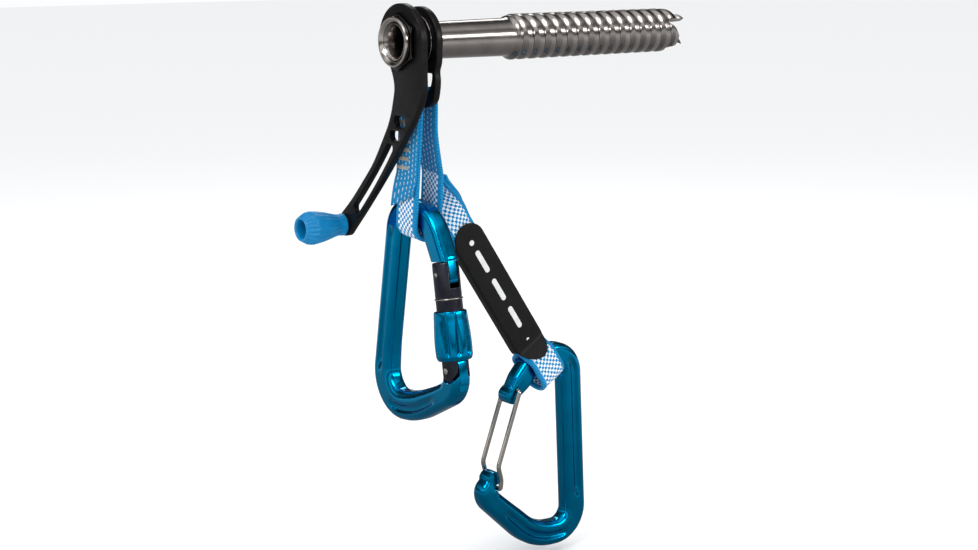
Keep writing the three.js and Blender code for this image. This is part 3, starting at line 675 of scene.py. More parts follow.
def crank_arm():
    holes = [
        circle(0, 0, 8.35, 96),
        circle(-46.7, -85.4, 2.4, 32),
        rounded_box(-1, -34.6, 8.4, 5.2, 2.2),
        rounded_box(-4.7, -41, 8, 4.6, 2),
        crank_slot(),
    ]
    arm = plate("crank", crank_outline(), holes, 9.15, 12.45, BLACK, on_tube, 0.45)
    dress(arm, "screw", "black_aluminium", "crank_arm")


def collar_ring(name, body, slot, node, inner, outer, low, high, material, soft=0.25):
    profile = softened([(inner, low), (outer, low), (outer, high), (inner, high)], soft)
    dress(revolve(name, profile, material, 128), body, slot, node)


def hub():
    collar_ring("washer_front", "screw", "tube_steel", "front_washer", 8.35, 11.6, -9.1, -8.3, STEEL)
    collar_ring("spool", "screw", "black_aluminium", "hub_spool", 8.35, 10.6, -8.2, -4.3, BLACK, 0.5)
    collar_ring("washer_rear", "screw", "tube_steel", "rear_washer", 8.35, 11.6, -4.2, -3.4, STEEL)
    collar_ring("hub_ring", "screw", "tube_steel", "retaining_ring", 8.35, 9.7, 0.15, 1.15, STEEL)


KNOB_AT = (0, 46.7, -85.4)
KNOB_FRONT = -35.7
KNOB_BASE = -13.2


def knob():
    length = KNOB_BASE - KNOB_FRONT

    def at(share):
        return KNOB_BASE - length * share

    waist = [(4.9, 0.0), (5.1, 0.02), (4.95, 0.08), (4.98, 0.16)]
    skirt = [(5.6, 0.28), (6.62, 0.45), (7.25, 0.6), (7.7, 0.76)]
    front = [(7.3, 0.86), (5.5, 1.0), (4.75, 1.0)]
    outer = catmull([*waist, *skirt], 8)
    dense = []
    for a, b in zip([tuple(outer[-1]), *front], front):
        dense += [(lerp(a[0], b[0], t), lerp(a[1], b[1], t)) for t in np.linspace(0, 1, 9)[1:]]
    line = [*[tuple(p) for p in outer], *dense]
    inside = [(4.4, 0.985), (4.4, 0.9), (4.4, 0.7), (4.35, 0.44), (4.2, 0.42), (2.4, 0.42), (2.4, 0.0)]
    profile = [(radius, at(share)) for radius, share in [*line, *inside]]

    def ribs(radius, height, angle):
        share = (KNOB_BASE - height) / length
        if radius < 4.78 and share > 0.2:
            return radius
        deep = 0.26 * ease(share, 0.08, 0.2) * (1 - ease(share, 0.66, 0.76))
        deep += 0.55 * ease(share, 0.7, 0.8) * (1 - ease(share, 0.92, 0.985))
        wave = 0.5 + 0.5 * math.cos(20 * angle)
        return radius - deep * (1 - wave**0.6)

    body = revolve("winding_knob", profile, PLASTIC, 288, ribs, KNOB_AT, sharp=50)
    dress(body, "knob", "blue_plastic", "knob")
    seat = at(0.42) - 0.3
    pin = [(0.01, -9.25), (1.9, -9.25), (2.1, -9.45), (2.1, seat), (3.4, seat), (3.6, seat - 0.2),
           (3.6, seat - 0.8), (3.1, seat - 1.2), (0.9, seat - 1.2), (0.6, seat - 0.8), (0.01, seat - 0.8)]
    dress(revolve("knob_axle", pin, POLISHED, 64, None, KNOB_AT), "screw", "polished_steel", "knob_pin")
    washer = softened([(2.5, -13.15), (4.4, -13.15), (4.4, -12.5), (2.5, -12.5)], 0.15)
    dress(revolve("knob_shim", washer, STEEL, 64, None, KNOB_AT), "screw", "tube_steel", "knob_washer")


def hanger_plate():
    side = [(14.3, -8.4), (12.9, -12.3), (13.3, -16.5), (12.8, -21), (11.2, -25.4), (6.5, -28.2), (0, -28.6)]
    outline = arc_points((0, 0), 14.8, 190.8, -10.8, 60)
    right = catmull([outline[-1], *side])[1:]
    left = catmull([(-x, y) for x, y in [*side[::-1]]])[1:]
    line = resample([*outline, *right, *left], 300, True)[0]
    lift = math.degrees(math.asin(0.6 / 10.5))
    eye = arc_points((0, -14), 10.5, 180 - lift, 360 + lift, 80)
    chord = [(lerp(eye[-1][0], eye[0][0], t), eye[0][1]) for t in np.linspace(0, 1, 24)[1:-1]]
    holes = [circle(0, 0, 8.35, 96), [*eye, *chord]]
    made = plate("hanger", line, holes, 0, 3.3, BLACK, on_tube, 0.6)
    dress(made, "hanger", "black_aluminium", "hanger_plate")


# ------------------------------------------------------------------ tape

def tape_section(width, thickness):
    """Points round a flat tape's section, face first: (across, through, side), side 0 face, 1 back, 2 edge."""
    half, soft = width / 2, thickness / 2
    across = np.linspace(-half + soft, half - soft, 15)
    face = [(x, soft, 0) for x in across]
    back = [(x, -soft, 1) for x in across[::-1]]
    right = [(half - soft + soft * math.cos(a), soft * math.sin(a), 2) for a in np.linspace(1.2, -1.2, 4)]
    left = [(-half + soft - soft * math.cos(a), soft * math.sin(a), 2) for a in np.linspace(-1.2, 1.2, 4)]
    return [*face, *right, *back, *left]


def tape(name, centres, wides, width, thickness, faces, closed=False, widths=None, shift=None, start=0.0):
    """A tape along 3-D points. wides holds the direction across the tape at each point; the face looks
    along run x wide. faces gives the materials for the face, the back and the edges."""
    centres = np.array(centres, float)
    n = len(centres)
    ahead, behind = np.roll(centres, -1, axis=0), np.roll(centres, 1, axis=0)
    if not closed:
        ahead[-1], behind[0] = centres[-1], centres[0]
    runs = np.array([unit(a - b) for a, b in zip(ahead, behind)])
    lengths = np.concatenate([[0], np.cumsum(np.linalg.norm(np.diff(centres, axis=0), axis=1))]) + start
    section = tape_section(width, thickness)
    count = len(section)
    points = []
    for i in range(n):
        wide = unit(wides[i] - runs[i] * (runs[i] @ wides[i]))
        thick = np.cross(runs[i], wide)
        scale = widths[i] / width if widths is not None else 1.0
        for x, y, _ in section:
            points.append(centres[i] + wide * x * scale + thick * y)
    quads, uv, index = [], [], []
    for i in range(n if closed else n - 1):
        j = (i + 1) % n
        near = lengths[i]
        far = lengths[i + 1] if i + 1 < n else near + np.linalg.norm(centres[0] - centres[-1])
        for k in range(count):
            m = (k + 1) % count
            quads.append((i * count + k, i * count + m, j * count + m, j * count + k))
            v1, v2 = section[k][0], section[m][0]
            uv += [(near, v1), (near, v2), (far, v2), (far, v1)]
            side = section[k][2] if section[k][2] == section[m][2] else 2
            index.append(side)
    if not closed:
        quads.append(tuple(range(count))[::-1])
        quads.append(tuple(range((n - 1) * count, n * count)))
        uv += [(lengths[0], section[k][0]) for k in range(count)][::-1]
        uv += [(lengths[-1], section[k][0]) for k in range(count)]
        index += [2, 2]
    mesh = bpy.data.meshes.new(name)
    mesh.from_pydata([metres(p) for p in points], [], quads)
    layer = mesh.uv_layers.new(name="weave")
    layer.data.foreach_set("uv", np.array(uv, np.float32).ravel())
    for material in faces:
        mesh.materials.append(material)
    mesh.polygons.foreach_set("material_index", index)
    mesh.shade_smooth()
    mesh.set_sharp_from_angle(angle=math.radians(50))
    piece = bpy.data.objects.new(name, mesh)
    bpy.context.scene.collection.objects.link(piece)
    bm = bmesh.new()
    bm.from_mesh(mesh)
    bmesh.ops.recalc_face_normals(bm, faces=bm.faces)
    bm.to_mesh(mesh)
    bm.free()
    return piece


LEAN = math.radians(4.5)
EYE_Z = -14.0


def leaned(x, y, z):
    """Sling board (x along the tube, y toward the head's left, z up) turned about the plate's eye."""
    up = z - EYE_Z
    return np.array([x, y * math.cos(LEAN) - up * math.sin(LEAN), EYE_Z + up * math.cos(LEAN) + y * math.sin(LEAN)])


def sling_line(steps):
    rim, top = -1.65, -22.55
    corners = [
        (rim + 3.55, top, 3.54), (rim - 3.55, top, 3.54), (0.4 - 6.55, -87.05, 6.45), (0.4 + 6.55, -87.05, 6.45),
        (0.4 + 6.55, -59, 14), (rim + 3.55 + 0.8, -40, 30),
    ]
    return resample(filleted(corners, True, 0.5), steps, True)[0]


def cupped(points, offset=0.0):
    """Lifts a tape's edges where it lies in the round eye. Points are on the sling board."""
    out = []
    for x, y, z in points:
        share = 1 - ease(-z, 30, 48)
        cup = 10 - math.sqrt(max(0.0, 100 - min(abs(y), 9.0) ** 2))
        out.append(leaned(x, y, z + cup * share + offset))
    return out


def bend_piece(piece, change):
    """Moves every vertex of a piece. change takes and gives points in millimetres."""
    moved = change([(v.co.x / MM, v.co.y / MM, v.co.z / MM + DROP) for v in piece.data.vertices])
    for vertex, point in zip(piece.data.vertices, moved):
        vertex.co = Vector(metres(point))
    piece.data.update()
    return piece


def bar_tack(name, centre, along, across, out, length, width, rows, material, thread=0.16):
    """A block of zigzag stitching lying on a tape."""
    along, across, out = unit(along), unit(across), unit(out)
    line = []
    for k in range(rows + 1):
        x = (k / rows - 0.5) * length
        side = width / 2 * (1 if k % 2 else -1)
        line.append(np.array(centre) + along * x - across * side + out * 0.02)
        line.append(np.array(centre) + along * x + out * thread * 1.3)
        line.append(np.array(centre) + along * x + across * side + out * 0.02)
        if k < rows:
            line[-3], line[-1] = (line[-3], line[-1]) if k % 2 else (line[-3], line[-1])
    return rod(name, line, thread, material, 6)


def hanger_sling():
    line = sling_line(420)
    centres = np.array([(x, 0, z) for x, z in line])
    wides = [np.array([0, 1.0, 0])] * len(centres)
    loop = tape("sling_loop", centres, wides, 15.5, 1.9, (FACE, BACK, PLAIN), True)
    for face in loop.data.polygons:
        low_end = face.center.x > 0 and face.center.z < (DROP - 58) * MM - 2 * DROP * MM
        if face.material_index == 0 and low_end:
            face.material_index = 1
    bend_piece(loop, cupped)
    dress(loop, "sling", "sling_tape", "hanger_sling")
    front_lap()
    sling_stitches()


def front_lap():
    """The sewn overlap on the head side: a second layer that ends in a slanted, flared cut."""
    zs = np.linspace(-26.5, -68.5, 120)
    centres, wides, widths = [], [], []
    for z in zs:
        t = (z + 22.55) / (-87.05 + 22.55)
        x = lerp(-5.2, -6.15, t) - 1.42
        flare = ease(-z, 58, 68.5)
        x -= 0.4 * flare
        centres.append((x + 0.5 * (1 - ease(-z, 26.5, 30)), 1.8 * flare, z))
        wides.append(np.array([0, 1.0, 0]))
        widths.append(15.3 + 1.2 * flare)
    lap = tape("sling_overlap", centres, wides, 15.3, 0.85, (FACE, FACE, PLAIN), False, widths)

    def slant(points):
        out = []
        for x, y, z in points:
            low = ease(-z, 60, 68.5)
            out.append((x - 0.2 * low * (y / 7.7), y, z - 3.6 * low * (y / 7.7) - 1.2 * low))
        return cupped(out)

    bend_piece(lap, slant)
    dress(lap, "sling", "sling_tape")


def sling_stitches():
    out = np.array([-1.0, 0, 0])
    for k, z in enumerate((-35.5, -39.5, -43.5, -47.5, -51.5, -55.5)):
        t = (z + 22.55) / (-87.05 + 22.55)
        x = lerp(-5.2, -6.15, t) - 1.42 - 0.45
        centre = leaned(x, 2.6, z)
        tack = bar_tack(f"sling_tack_{k}", centre, (0, 1, 0), (0, 0, 1), out, 8.5, 1.5, 20, THREAD, 0.14)
        dress(tack, "sling", "sling_tape")


# ------------------------------------------------------------------ forged bars

def bar_section(groove, inner=0.0, taper=1.0):
    """An I-like bar with a groove in each flank. inner deepens the side on the left of the run, or with
    a minus sign the side on its right, and taper shrinks the whole section."""
    t, d, r = 4.7, 5.35, 3.1
    right = [(t - r + r * math.sin(a), -d + r - r * math.cos(a)) for a in np.linspace(0, math.pi / 2, 8)]
    for y in np.linspace(r - d, d - r, 21):
        into = 1.3 * groove * (1 - ease(abs(y), 0.5, 2.1))
        right.append((t - into, y))
    right += [(x, -y) for x, y in right[7::-1]]
    whole = [*right, *[(-x, -y) for x, y in right]]
    return [(x * (0.4 + 0.6 * taper), y * taper * (1 + abs(inner) / d if y * inner > 0 else 1)) for x, y in whole]


def forged_bar(name, corners, place, material, groove_at, inner_at, taper_at=None, count=300):
    line, along = resample(filleted(corners, False, 0.4), count)
    run = np.gradient(line, axis=0)
    run /= np.linalg.norm(run, axis=1)[:, None]
    across = direction(place, 0, 0, 1)
    centres = [np.array(place(x, y, 0)) for x, y in line]
    ups = [direction(place, -r[1], r[0], 0) for r in run]
    rights = [across] * count
    total = along[-1]
    shares = [s / total for s in along]
    tapers = [taper_at(s) if taper_at else 1.0 for s in shares]

    def section(i):
        return bar_section(groove_at(shares[i]), inner_at(shares[i]), tapers[i])

    return sweep(name, centres, rights, ups, section, material, sharp=60)


def window(*spans):
    """1 inside the given spans of 0..1 and 0 outside, with soft ends."""
    def value(share):
        return max(ease(share, a, a + 0.035) * (1 - ease(share, b - 0.035, b)) for a, b in spans)
    return value


def cylinder(name, x, y, radius, low, high, place, material, count=48):
    return prism(name, circle(x, y, radius, count), low, high, place, material)


def soft_pin(name, x, y, radius, low, high, place, material, dome=0.35):
    profile = [(0.01, low), (radius - dome, low), (radius - 0.1 * dome, low + 0.3 * dome), (radius, low + dome),
               (radius, high - dome), (radius - 0.1 * dome, high - 0.3 * dome), (radius - dome, high), (0.01, high)]
    return revolve(name, profile, material, 40, None, place(x, y, 0), direction(place, 0, 0, 1), sharp=55)


# ------------------------------------------------------------------ locking carabiner

def locker_frame():
    corners = [(17.9, -101, 0), (4, -75.5, 16), (-19.3, -75.5, 11), (-35, -169.4, 15), (-6, -166.6, 40),
               (23.6, -151.2, 9.5), (22.6, -142, 0)]

    def swell(share):
        return 0.5 + 2.4 * ease(share, 0.54, 0.68) * (1 - ease(share, 0.78, 0.92))

    body = forged_bar("locker_body", corners, on_locker, BLUE, window((0.27, 0.63), (0.7, 0.9)), swell)
    room = prism("gate_room", [(-14, 0), (14, 0), (14, 47.9), (-14, 47.9)], -9, 9, on_gate, BLUE)
    hinge = cylinder("hinge_room", 22.4, -142, 5.9, -9, 9, on_locker, BLUE, 64)
    carve(body, room, hinge, soften=0.35)
    half = 2.1
    disc = cylinder("tang", 0, 0, 4.5, -half, half, on_gate, BLUE, 64)
    shoulder = [(1, -6), (5.6, -6), (5.5, 2.6), (5.2, 4.4), (4.4, 5.6), (3.2, 6.0), (2.6, 5.6), (2.5, 3)]
    stop = prism("tang_stop", shoulder, -half, half, on_gate, BLUE)
    root = prism("tang_root", [(-4.3, -9.5), (4.6, -9.5), (4.6, 0), (-4.3, 0)], -half, half, on_gate, BLUE)
    heel = cylinder("tang_heel", -2.6, 3.1, 1.5, -half, half, on_gate, BLUE, 24)
    carve(disc, root, heel, stop, operation="UNION")
    carve(disc, cylinder("hinge_hole", 0, 0, 1.8, -9, 9, on_gate, BLUE), soften=0.2)
    foot = [(x, y) for x, y in arc_points((3.4, 39.7), 2.1, -90, 0, 10)]
    outline = [(-2, 38.3), (-1.6, 37.9), *foot, (5.3, 50), (1.7, 50), (1.7, 41), (1.3, 40.5), (-1.6, 40.5), (-2, 40)]
    rib = prism("nose_rib", outline, -half, half, on_gate, BLUE)
    carve(rib, soften=0.45)
    for piece, nodes in ((body, ["locker_frame"]), (disc, ["locker_frame"]), (rib, ["locker_frame"])):
        dress(piece, "locker", "blue_anodised", *nodes)
    pin = soft_pin("locker_hinge_pin", 22.4, -142, 1.5, -5.75, 5.75, on_locker, POLISHED)
    dress(pin, "locker", "polished_steel", "locker_gate_pin")


def on_gate_axis(name, profile, material, columns=96, shape=None, sharp=40):
    return revolve(name, profile, material, columns, shape, on_gate(0, 0, 0), direction(on_gate, 0, 1, 0), sharp)


def locker_gate():
    r, top = 5.9, 47.5
    profile = [(0.01, -4.8), (r, -4.8), (r, 30.75), (r - 0.55, 30.85), (r - 0.55, 31.75), (r, 31.85),
               (r, top - 0.8), (r - 0.25, top - 0.25), (r - 0.8, top), (0.01, top)]
    barrel = on_gate_axis("gate_barrel", profile, GUN, 128)
    outline = [*arc_points((0, 0), 4.8, 180, 360, 40), (6.1, 6.8), (6.1, 49), (-6.1, 49), (-6.1, 6.8)]
    taper = prism("gate_taper", outline, -7, 7, on_gate, GUN)
    carve(barrel, taper, operation="INTERSECT")
    flanks = [(-4.3, -6), (4.3, -6), (6.2, 4.2), (6.2, 49), (-6.2, 49), (-6.2, 4.2)]
    thinned = prism("gate_flanks", flanks, -8, 8, lambda x, y, z: on_gate(z, y, x), GUN)
    carve(barrel, thinned, operation="INTERSECT")
    tools = [
        prism("tang_slot", [(-8, -8), (8, -8), (8, 6.8), (-8, 6.8)], -2.45, 2.45, on_gate, GUN),
        prism("nose_slot", [(-3.1, 36), (8, 36), (8, 49), (-3.1, 49)], -2.45, 2.45, on_gate, GUN),
        cylinder("gate_pin_hole", 0, 0, 1.8, -9, 9, on_gate, GUN),
        cylinder("latch_hole", 0, 42.3, 1.3, -9, 9, on_gate, GUN),
        on_gate_axis("spring_bore", [(0.01, 0), (2.4, 0), (2.4, 20), (0.01, 20)], GUN, 32),
    ]
    carve(barrel, *tools, soften=0.22)
    dress(barrel, "gate", "gunmetal", "locker_gate")
    latch = soft_pin("latch_pin", 0, 0, 1.1, -5.75, 5.75, lambda x, y, z: on_gate(x, y + 42.3, z), POLISHED, 0.25)
    dress(latch, "gate", "polished_steel", "locker_latch_pin")
    turns = np.linspace(math.radians(200), math.radians(200 + 345), 80)
    hoop = [on_gate(6.05 * math.cos(a), 31.3, 6.05 * math.sin(a)) for a in turns]
    dress(rod("snap_wire", hoop, 0.36, POLISHED, 10), "gate", "polished_steel", "locker_snap_ring")
    coil = [
        on_gate(1.5 * math.cos(TAU * 7 * t), lerp(9.6, 19.4, t), 1.5 * math.sin(TAU * 7 * t))
        for t in np.linspace(0, 1, 240)
    ]
    spring = rod("gate_coil", coil, 0.33, STEEL, 8)
    dress(spring, "gate", "tube_steel", "locker_gate_spring")
    heading = tuple(float(c) for c in direction(on_gate, 0, 1, 0))
    metres(on_gate(0, 19.4, 0))
    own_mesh(spring)
    profile = softened([(0.01, 5), (1.75, 5), (2.1, 5.8), (2.1, 9), (0.01, 9)], 0.2)
    dress(on_gate_axis("gate_plunger", profile, STEEL, 32), "plunger", "tube_steel", "locker_plunger")


def locking_sleeve():
    bottom, length = 4.3, 21.7

    def at(share):
        return bottom + length * share

    outer = [(7.1, 0), (7.45, 0.012), (7.95, 0.06), (8.2, 0.12), (8.38, 0.3), (8.2, 0.5), (7.85, 0.7), (7.6, 0.82),
             (7.45, 0.93), (7.25, 0.985), (7.0, 1.0)]
    line = [tuple(p) for p in catmull(outer, 8)]
    profile = [(r, at(s)) for r, s in [*line, (6.6, 1.0), (6.6, 0.0)]]

    def flutes(radius, height, angle):
        share = (height - bottom) / length
        if radius < 6.9:
            return radius
        valley = 7.25 + 1.5 * abs(math.sin(5 * angle)) ** 1.4 + 1.4 * (1 - ease(share, 0.02, 0.16))
        return 0.5 * (radius + valley - math.sqrt((radius - valley) ** 2 + 0.006))

    made = on_gate_axis("locking_collar", profile, BLUE, 240, flutes, 50)
    dress(made, "locking_sleeve", "blue_anodised", "locker_sleeve")


# ------------------------------------------------------------------ draw

DRAW_START = np.array([10.3, 7, -60])
SLEEVE_TOP = np.array([21.6, 4.5, -84.2])
SLEEVE_END = np.array([63.8, 4.5, -147.8])
DRAW_AXIS = unit(SLEEVE_END - SLEEVE_TOP)
ACROSS = np.array([0.0, 1, 0])
DRAW_WIDE = unit(np.cross(DRAW_AXIS, ACROSS))
SLEEVE_LENGTH = float(np.linalg.norm(SLEEVE_END - SLEEVE_TOP))
LOOP_HALF = 7.4
LOOP_START = -5.0


def on_draw(x, y, z):
    """Drawn with x down the draw from the sleeve's lower end, y across the tape and z through it."""
    return SLEEVE_END + DRAW_AXIS * x + DRAW_WIDE * y - ACROSS * z


def draw_strip():
    a, b = DRAW_START, DRAW_START + np.array([2.6, 0, -7.5])
    c, d = SLEEVE_TOP - DRAW_AXIS * 9, SLEEVE_TOP
    shares = np.linspace(0, 1, 120)
    line = [
        (1 - t) ** 3 * a + 3 * t * (1 - t) ** 2 * b + 3 * t * t * (1 - t) * c + t**3 * d for t in shares
    ]
    centres, wides, widths = [], [], []
    for t, point in zip(shares, line):
        angle = ease(t, 0, 1) * math.pi / 2
        centres.append(point)
        wides.append(DRAW_WIDE * math.sin(angle) - ACROSS * math.cos(angle))
        widths.append(lerp(15.5, 14.4, t))
    for s in np.linspace(2, SLEEVE_LENGTH - 3, 30):
        centres.append(SLEEVE_TOP + DRAW_AXIS * s)
        wides.append(DRAW_WIDE)
        widths.append(14.4)
    upper = tape("draw_twist", centres, wides, 15.5, 1.85, (CHECK, CHECK, PLAIN), False, widths)
    shift_along_thickness(upper, 0.95)
    lower = tape("draw_twist_back", centres, wides, 15.5, 1.85, (CHECK, CHECK, PLAIN), False, widths)
    shift_along_thickness(lower, -0.95)
    dress(upper, "draw", "draw_tape", "draw_sling")
    dress(lower, "draw", "draw_tape")


def shift_along_thickness(piece, distance):
    """Moves each station of a tape along its own thickness."""
    count = len(tape_section(1, 0.1))
    vertices = piece.data.vertices
    for i in range(len(vertices) // count):
        ring = vertices[i * count:(i + 1) * count]
        face, back = ring[7].co, ring[15 + 4 + 7].co
        step = (face - back).normalized() * distance * MM
        for vertex in ring:
            vertex.co += step
    piece.data.update()


def draw_loop():
    half, start, far = LOOP_HALF, LOOP_START, 19.6 - 0.95
    shoulder = start + half * 0.9
    round_end = half - 0.1
    corners = [(start, 0, 0), (shoulder, -half, 3), (far, -half, round_end), (far, half, round_end),
               (shoulder, half, 3)]
    line = resample(filleted(corners, True, 0.4), 220, True)[0]
    centres = [on_draw(x, 0, y) for x, y in line]
    loop = tape("draw_loop", centres, [DRAW_WIDE] * len(line), 15.5, 1.9, (CHECK, CHECK, PLAIN), True)
    dress(loop, "draw", "draw_tape", "draw_sling")


def sleeve_rise(x):
    """Distance from the tape's middle to the inside of the rubber, which opens over the loop."""
    lift = 1.11 * (x - LOOP_START) - 0.55
    return 2.05 + 0.5 * (lift + math.sqrt(lift**2 + 1.2))


def sleeve_tongue(side):
    """One flat face of the sleeve: a strip with half-round ends."""
    columns, radius, points = 48, 8.4, []
    for t in 0.5 - 0.5 * np.cos(np.linspace(0, math.pi, 150)):
        x = (SLEEVE_LENGTH + 1.2) * (t - 1) + 1.2
        end = min(t, 1 - t) * (SLEEVE_LENGTH + 1.2)
        wide = math.sqrt(max(0.02, radius**2 - max(0.0, radius - end) ** 2))
        middle = sleeve_rise(x) + 0.5
        for k in range(columns):
            a = TAU * k / columns
            c, s = math.cos(a), math.sin(a)
            y = wide * math.copysign(abs(c) ** 0.3, c)
            z = 0.55 * math.copysign(abs(s) ** 0.5, s)
            points.append(on_draw(x, y, side * (middle + z)))
    faces = grid_faces(150, columns, wrap_columns=True)
    faces += [tuple(range(columns))[::-1], tuple(range(149 * columns, 150 * columns))]
    return mesh_piece(f"sleeve_face_{side}", points, faces, RUBBER, sharp=60)


def draw_sleeve():
    """A moulded rubber tube round the tape, whose two flat faces reach past the tube as rounded tongues."""
    columns, points = 80, []

    def ring(x, wide, thick):
        for k in range(columns):
            a = TAU * k / columns
            c, s = math.cos(a), math.sin(a)
            y = wide * math.copysign(abs(c) ** 0.3, c)
            points.append(on_draw(x, y, thick * math.copysign(abs(s) ** 0.3, s)))

    rows = np.linspace(7 - SLEEVE_LENGTH, LOOP_START - 0.5, 60)
    for x in rows:
        ring(x, 8.55, 2.95)
    for x in rows[::-1]:
        ring(x, 7.7, 2.05)
    tube = mesh_piece("rubber_sleeve", points, grid_faces(120, columns, wrap_rows=True), RUBBER, sharp=60)
    dress(tube, "draw", "black_rubber", "draw_sleeve")
    for side in (1, -1):
        dress(sleeve_tongue(side), "draw", "black_rubber")
    sleeve_print()


def sleeve_print():
    """Plain printed bars down the middle of the sleeve and a dot near its end, on both faces."""
    marks = [(-67, 2.6, 1.3), (-56, 12.5, 1.3), (-39, 12.5, 1.3), (-22, 12.5, 1.3), (-8, 1.6, 0.8)]
    for side in (1, -1):
        for k, (x, long, half) in enumerate(marks):
            outline = rounded_box(x, 0, long, 2 * half, half * 0.98)

            def place(a, b, c, side=side):
                return on_draw(a, b, side * (3.04 + c))

            mark = prism(f"sleeve_mark_{k}_{side}", outline, -0.2, 0.14, place, PRINT)
            dress(mark, "draw", "black_rubber")


# ------------------------------------------------------------------ wire-gate carabiner

def wiregate_frame():
    corners = [(50.9, -167.4, 0), (65.5, -151.2, 15), (86.2, -150.4, 11), (90.6, -241, 12), (64, -240.5, 30),
               (36, -214.2, 6), (39.6, -206.4, 0)]

    def swell(share):
        return -1.3 * ease(share, 0.12, 0.24) * (1 - ease(share, 0.8, 0.95))

    def narrowing(share):
        return 1 - 0.26 * (1 - ease(share, 0.0, 0.05)) - 0.26 * ease(share, 0.965, 1.0)

    grooved = window((0.2, 0.58), (0.66, 0.9))
    body = forged_bar("wiregate_body", corners, on_wiregate, BLUE, grooved, swell, narrowing)
    ends = [
        soft_pin(f"wiregate_end_{k}", x, y, 4.1, -3.9, 3.9, on_wiregate, BLUE, 1.3)
        for k, (x, y) in enumerate(((50.9, -167.4), (39.6, -206.4)))
    ]
    carve(body, *ends, operation="UNION")
    carve(
        body,
        cylinder("wire_hole", 52.4, -164.6, 1.5, -9, 9, on_wiregate, BLUE),
        cylinder("wire_notch", 41.1, -210.5, 2.0, -9, 9, on_wiregate, BLUE),
        soften=0.25,
    )
    dress(body, "wiregate", "blue_anodised", "wiregate_frame")


def wire_gate():
    flank = [(52.4, -164.6), (39.8, -199.4), (41.6, -206), (41.1, -210.5)]
    points = [(52.4, -164.6, -2.6), *[(x, y, -6) for x, y in flank], *[(x, y, 6) for x, y in flank[::-1]],
              (52.4, -164.6, 2.6)]
    line = [np.array(points[0], float)]
    for i in range(1, len(points) - 1):
        corner = np.array(points[i], float)
        enter = corner + unit(np.array(points[i - 1]) - corner) * 1.6
        leave = corner + unit(np.array(points[i + 1]) - corner) * 1.6
        for t in np.linspace(0, 1, 9):
            line.append((1 - t) ** 2 * enter + 2 * t * (1 - t) * corner + t * t * leave)
    line.append(np.array(points[-1], float))
    bent = [on_wiregate(*p) for p in line]
    dress(rod("bent_wire", bent, 1.1, POLISHED, 24), "wire", "polished_steel", "wire_gate")


# ------------------------------------------------------------------ stage

def area_light(name, place, target, size, power):
    light = bpy.data.lights.new(name, "AREA")
    light.shape = "RECTANGLE"
    light.size, light.size_y = size
    light.energy = power
    lamp = bpy.data.objects.new(name, light)
    lamp.location = place
    lamp.rotation_euler = (Vector(target) - Vector(place)).to_track_quat("-Z", "Y").to_euler()
    bpy.context.scene.collection.objects.link(lamp)
    return lamp


def studio_world():
    """Near-white to the eye. What the metals mirror is banded, bright overhead and dark at the horizon."""
    world = bpy.data.worlds.new("studio")
    world.use_nodes = True
    nodes, links = world.node_tree.nodes, world.node_tree.links
    plain = nodes["Background"]
    plain.inputs["Color"].default_value = (0.98, 0.99, 1.0, 1)
    plain.inputs["Strength"].default_value = 1.0
    where = nodes.new("ShaderNodeTexCoord")
    split = nodes.new("ShaderNodeSeparateXYZ")
    links.new(where.outputs["Generated"], split.inputs[0])
    ramp = nodes.new("ShaderNodeValToRGB")
    bands = [(0.0, 0.06), (0.1, 0.12), (0.2, 0.75), (0.34, 1.0), (0.46, 0.3), (0.62, 0.16), (0.74, 0.9), (1.0, 1.1)]
    stops = ramp.color_ramp.elements
    while len(stops) < len(bands):
        stops.new(0.5)
    for stop, (place, level) in zip(stops, bands):
        stop.position = place
        stop.color = (level, level, level, 1)
    links.new(split.outputs["Z"], ramp.inputs[0])
    mirrored = nodes.new("ShaderNodeBackground")
    ahead = nodes.new("ShaderNodeVectorMath")
    ahead.operation = "DOT_PRODUCT"
    ahead.inputs[1].default_value = (0.6, 0.8, 0.0)
    links.new(where.outputs["Generated"], ahead.inputs[0])
    fade = nodes.new("ShaderNodeMapRange")
    for name, value in (("From Min", -0.1), ("From Max", 0.45), ("To Min", 1.0), ("To Max", 0.12)):
        fade.inputs[name].default_value = value
    links.new(ahead.outputs["Value"], fade.inputs["Value"])
    links.new(fade.outputs["Result"], mirrored.inputs["Strength"])
    links.new(ramp.outputs[0], mirrored.inputs["Color"])
    path = nodes.new("ShaderNodeLightPath")
    mix = nodes.new("ShaderNodeMixShader")
    links.new(path.outputs["Is Glossy Ray"], mix.inputs[0])
    links.new(plain.outputs[0], mix.inputs[1])
    links.new(mirrored.outputs[0], mix.inputs[2])
    links.new(mix.outputs[0], nodes["World Output"].inputs["Surface"])
    return world


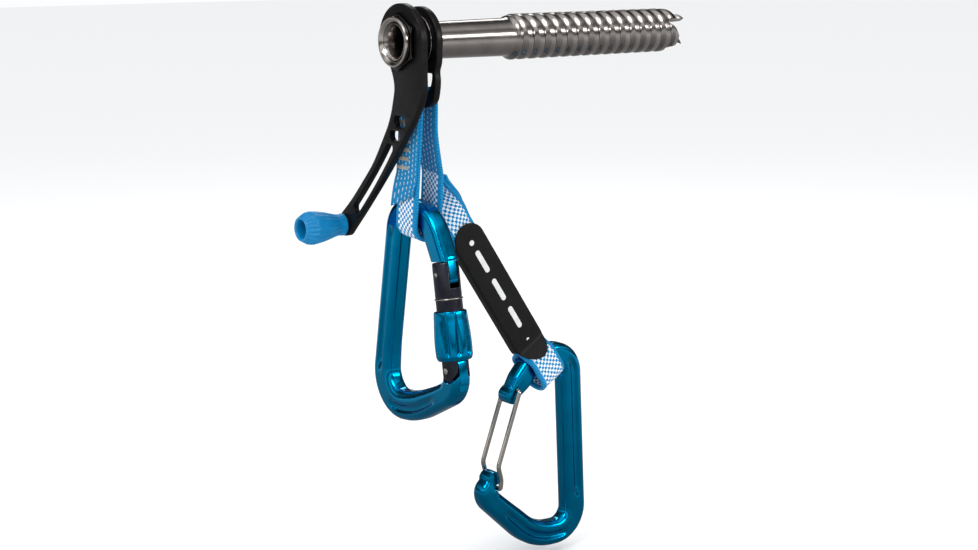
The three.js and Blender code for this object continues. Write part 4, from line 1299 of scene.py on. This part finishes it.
def stage():
    s = Shader("pale_floor")
    s.bump(s.noise(0.02), 0.01)
    path = s.nodes.new("ShaderNodeLightPath")
    where = s.nodes.new("ShaderNodeNewGeometry")
    reach = s.nodes.new("ShaderNodeVectorMath")
    reach.operation = "LENGTH"
    s.links.new(where.outputs["Position"], reach.inputs[0])
    # In reflections the floor is painted dark close under the object and paler further off: painted shade seen only by
    # glossy rays. To the camera the floor stays evenly pale.
    far = s.span(reach.outputs["Value"], 0.15, 1.1, 0.0, 1.0)
    mirrored = s.mix(far, (0.08, 0.08, 0.08, 1), (0.6, 0.6, 0.6, 1))
    seen = s.mix(path.outputs["Is Glossy Ray"], (0.93, 0.93, 0.93, 1), mirrored)
    floor_material = s.finish(Base_Color=seen, Roughness=0.9)
    low = cad_low[2] / MM + DROP - 4
    side = 6000
    corners = [(-side, -side, low), (side, -side, low), (side, side, low), (-side, side, low)]
    mesh_piece("floor", corners, [(0, 1, 2, 3)], floor_material)
    scene = bpy.context.scene
    scene.world = studio_world()
    scene.view_settings.view_transform = "Standard"
    middle = (0.05, 0.0, -0.09)
    area_light("key", (-0.75, -0.35, 0.75), middle, (0.5, 0.5), 5)
    area_light("fill", (0.5, -1.0, 0.35), middle, (0.8, 0.12), 4)
    area_light("rim", (0.6, 0.8, 0.6), middle, (0.5, 0.2), 1.5)
    camera = bpy.data.cameras.new("camera")
    camera.lens, camera.sensor_width = 64.24, 36
    seat = bpy.data.objects.new("camera", camera)
    view = Vector((0.592, 0.782, -0.194)).normalized()
    up = Vector((0.797, -0.604, 0.0)).cross(view).normalized()
    turn = Matrix((view.cross(up), up, -view)).transposed().to_4x4()
    seat.matrix_world = Matrix.Translation((-0.4360, -0.6228, 0.0348)) @ turn
    scene.collection.objects.link(seat)
    scene.camera = seat


screw_tube()
head()
crank_arm()
hub()
knob()
hanger_plate()
hanger_sling()
locker_frame()
locker_gate()
locking_sleeve()
draw_strip()
draw_loop()
draw_sleeve()
wiregate_frame()
wire_gate()
stage()
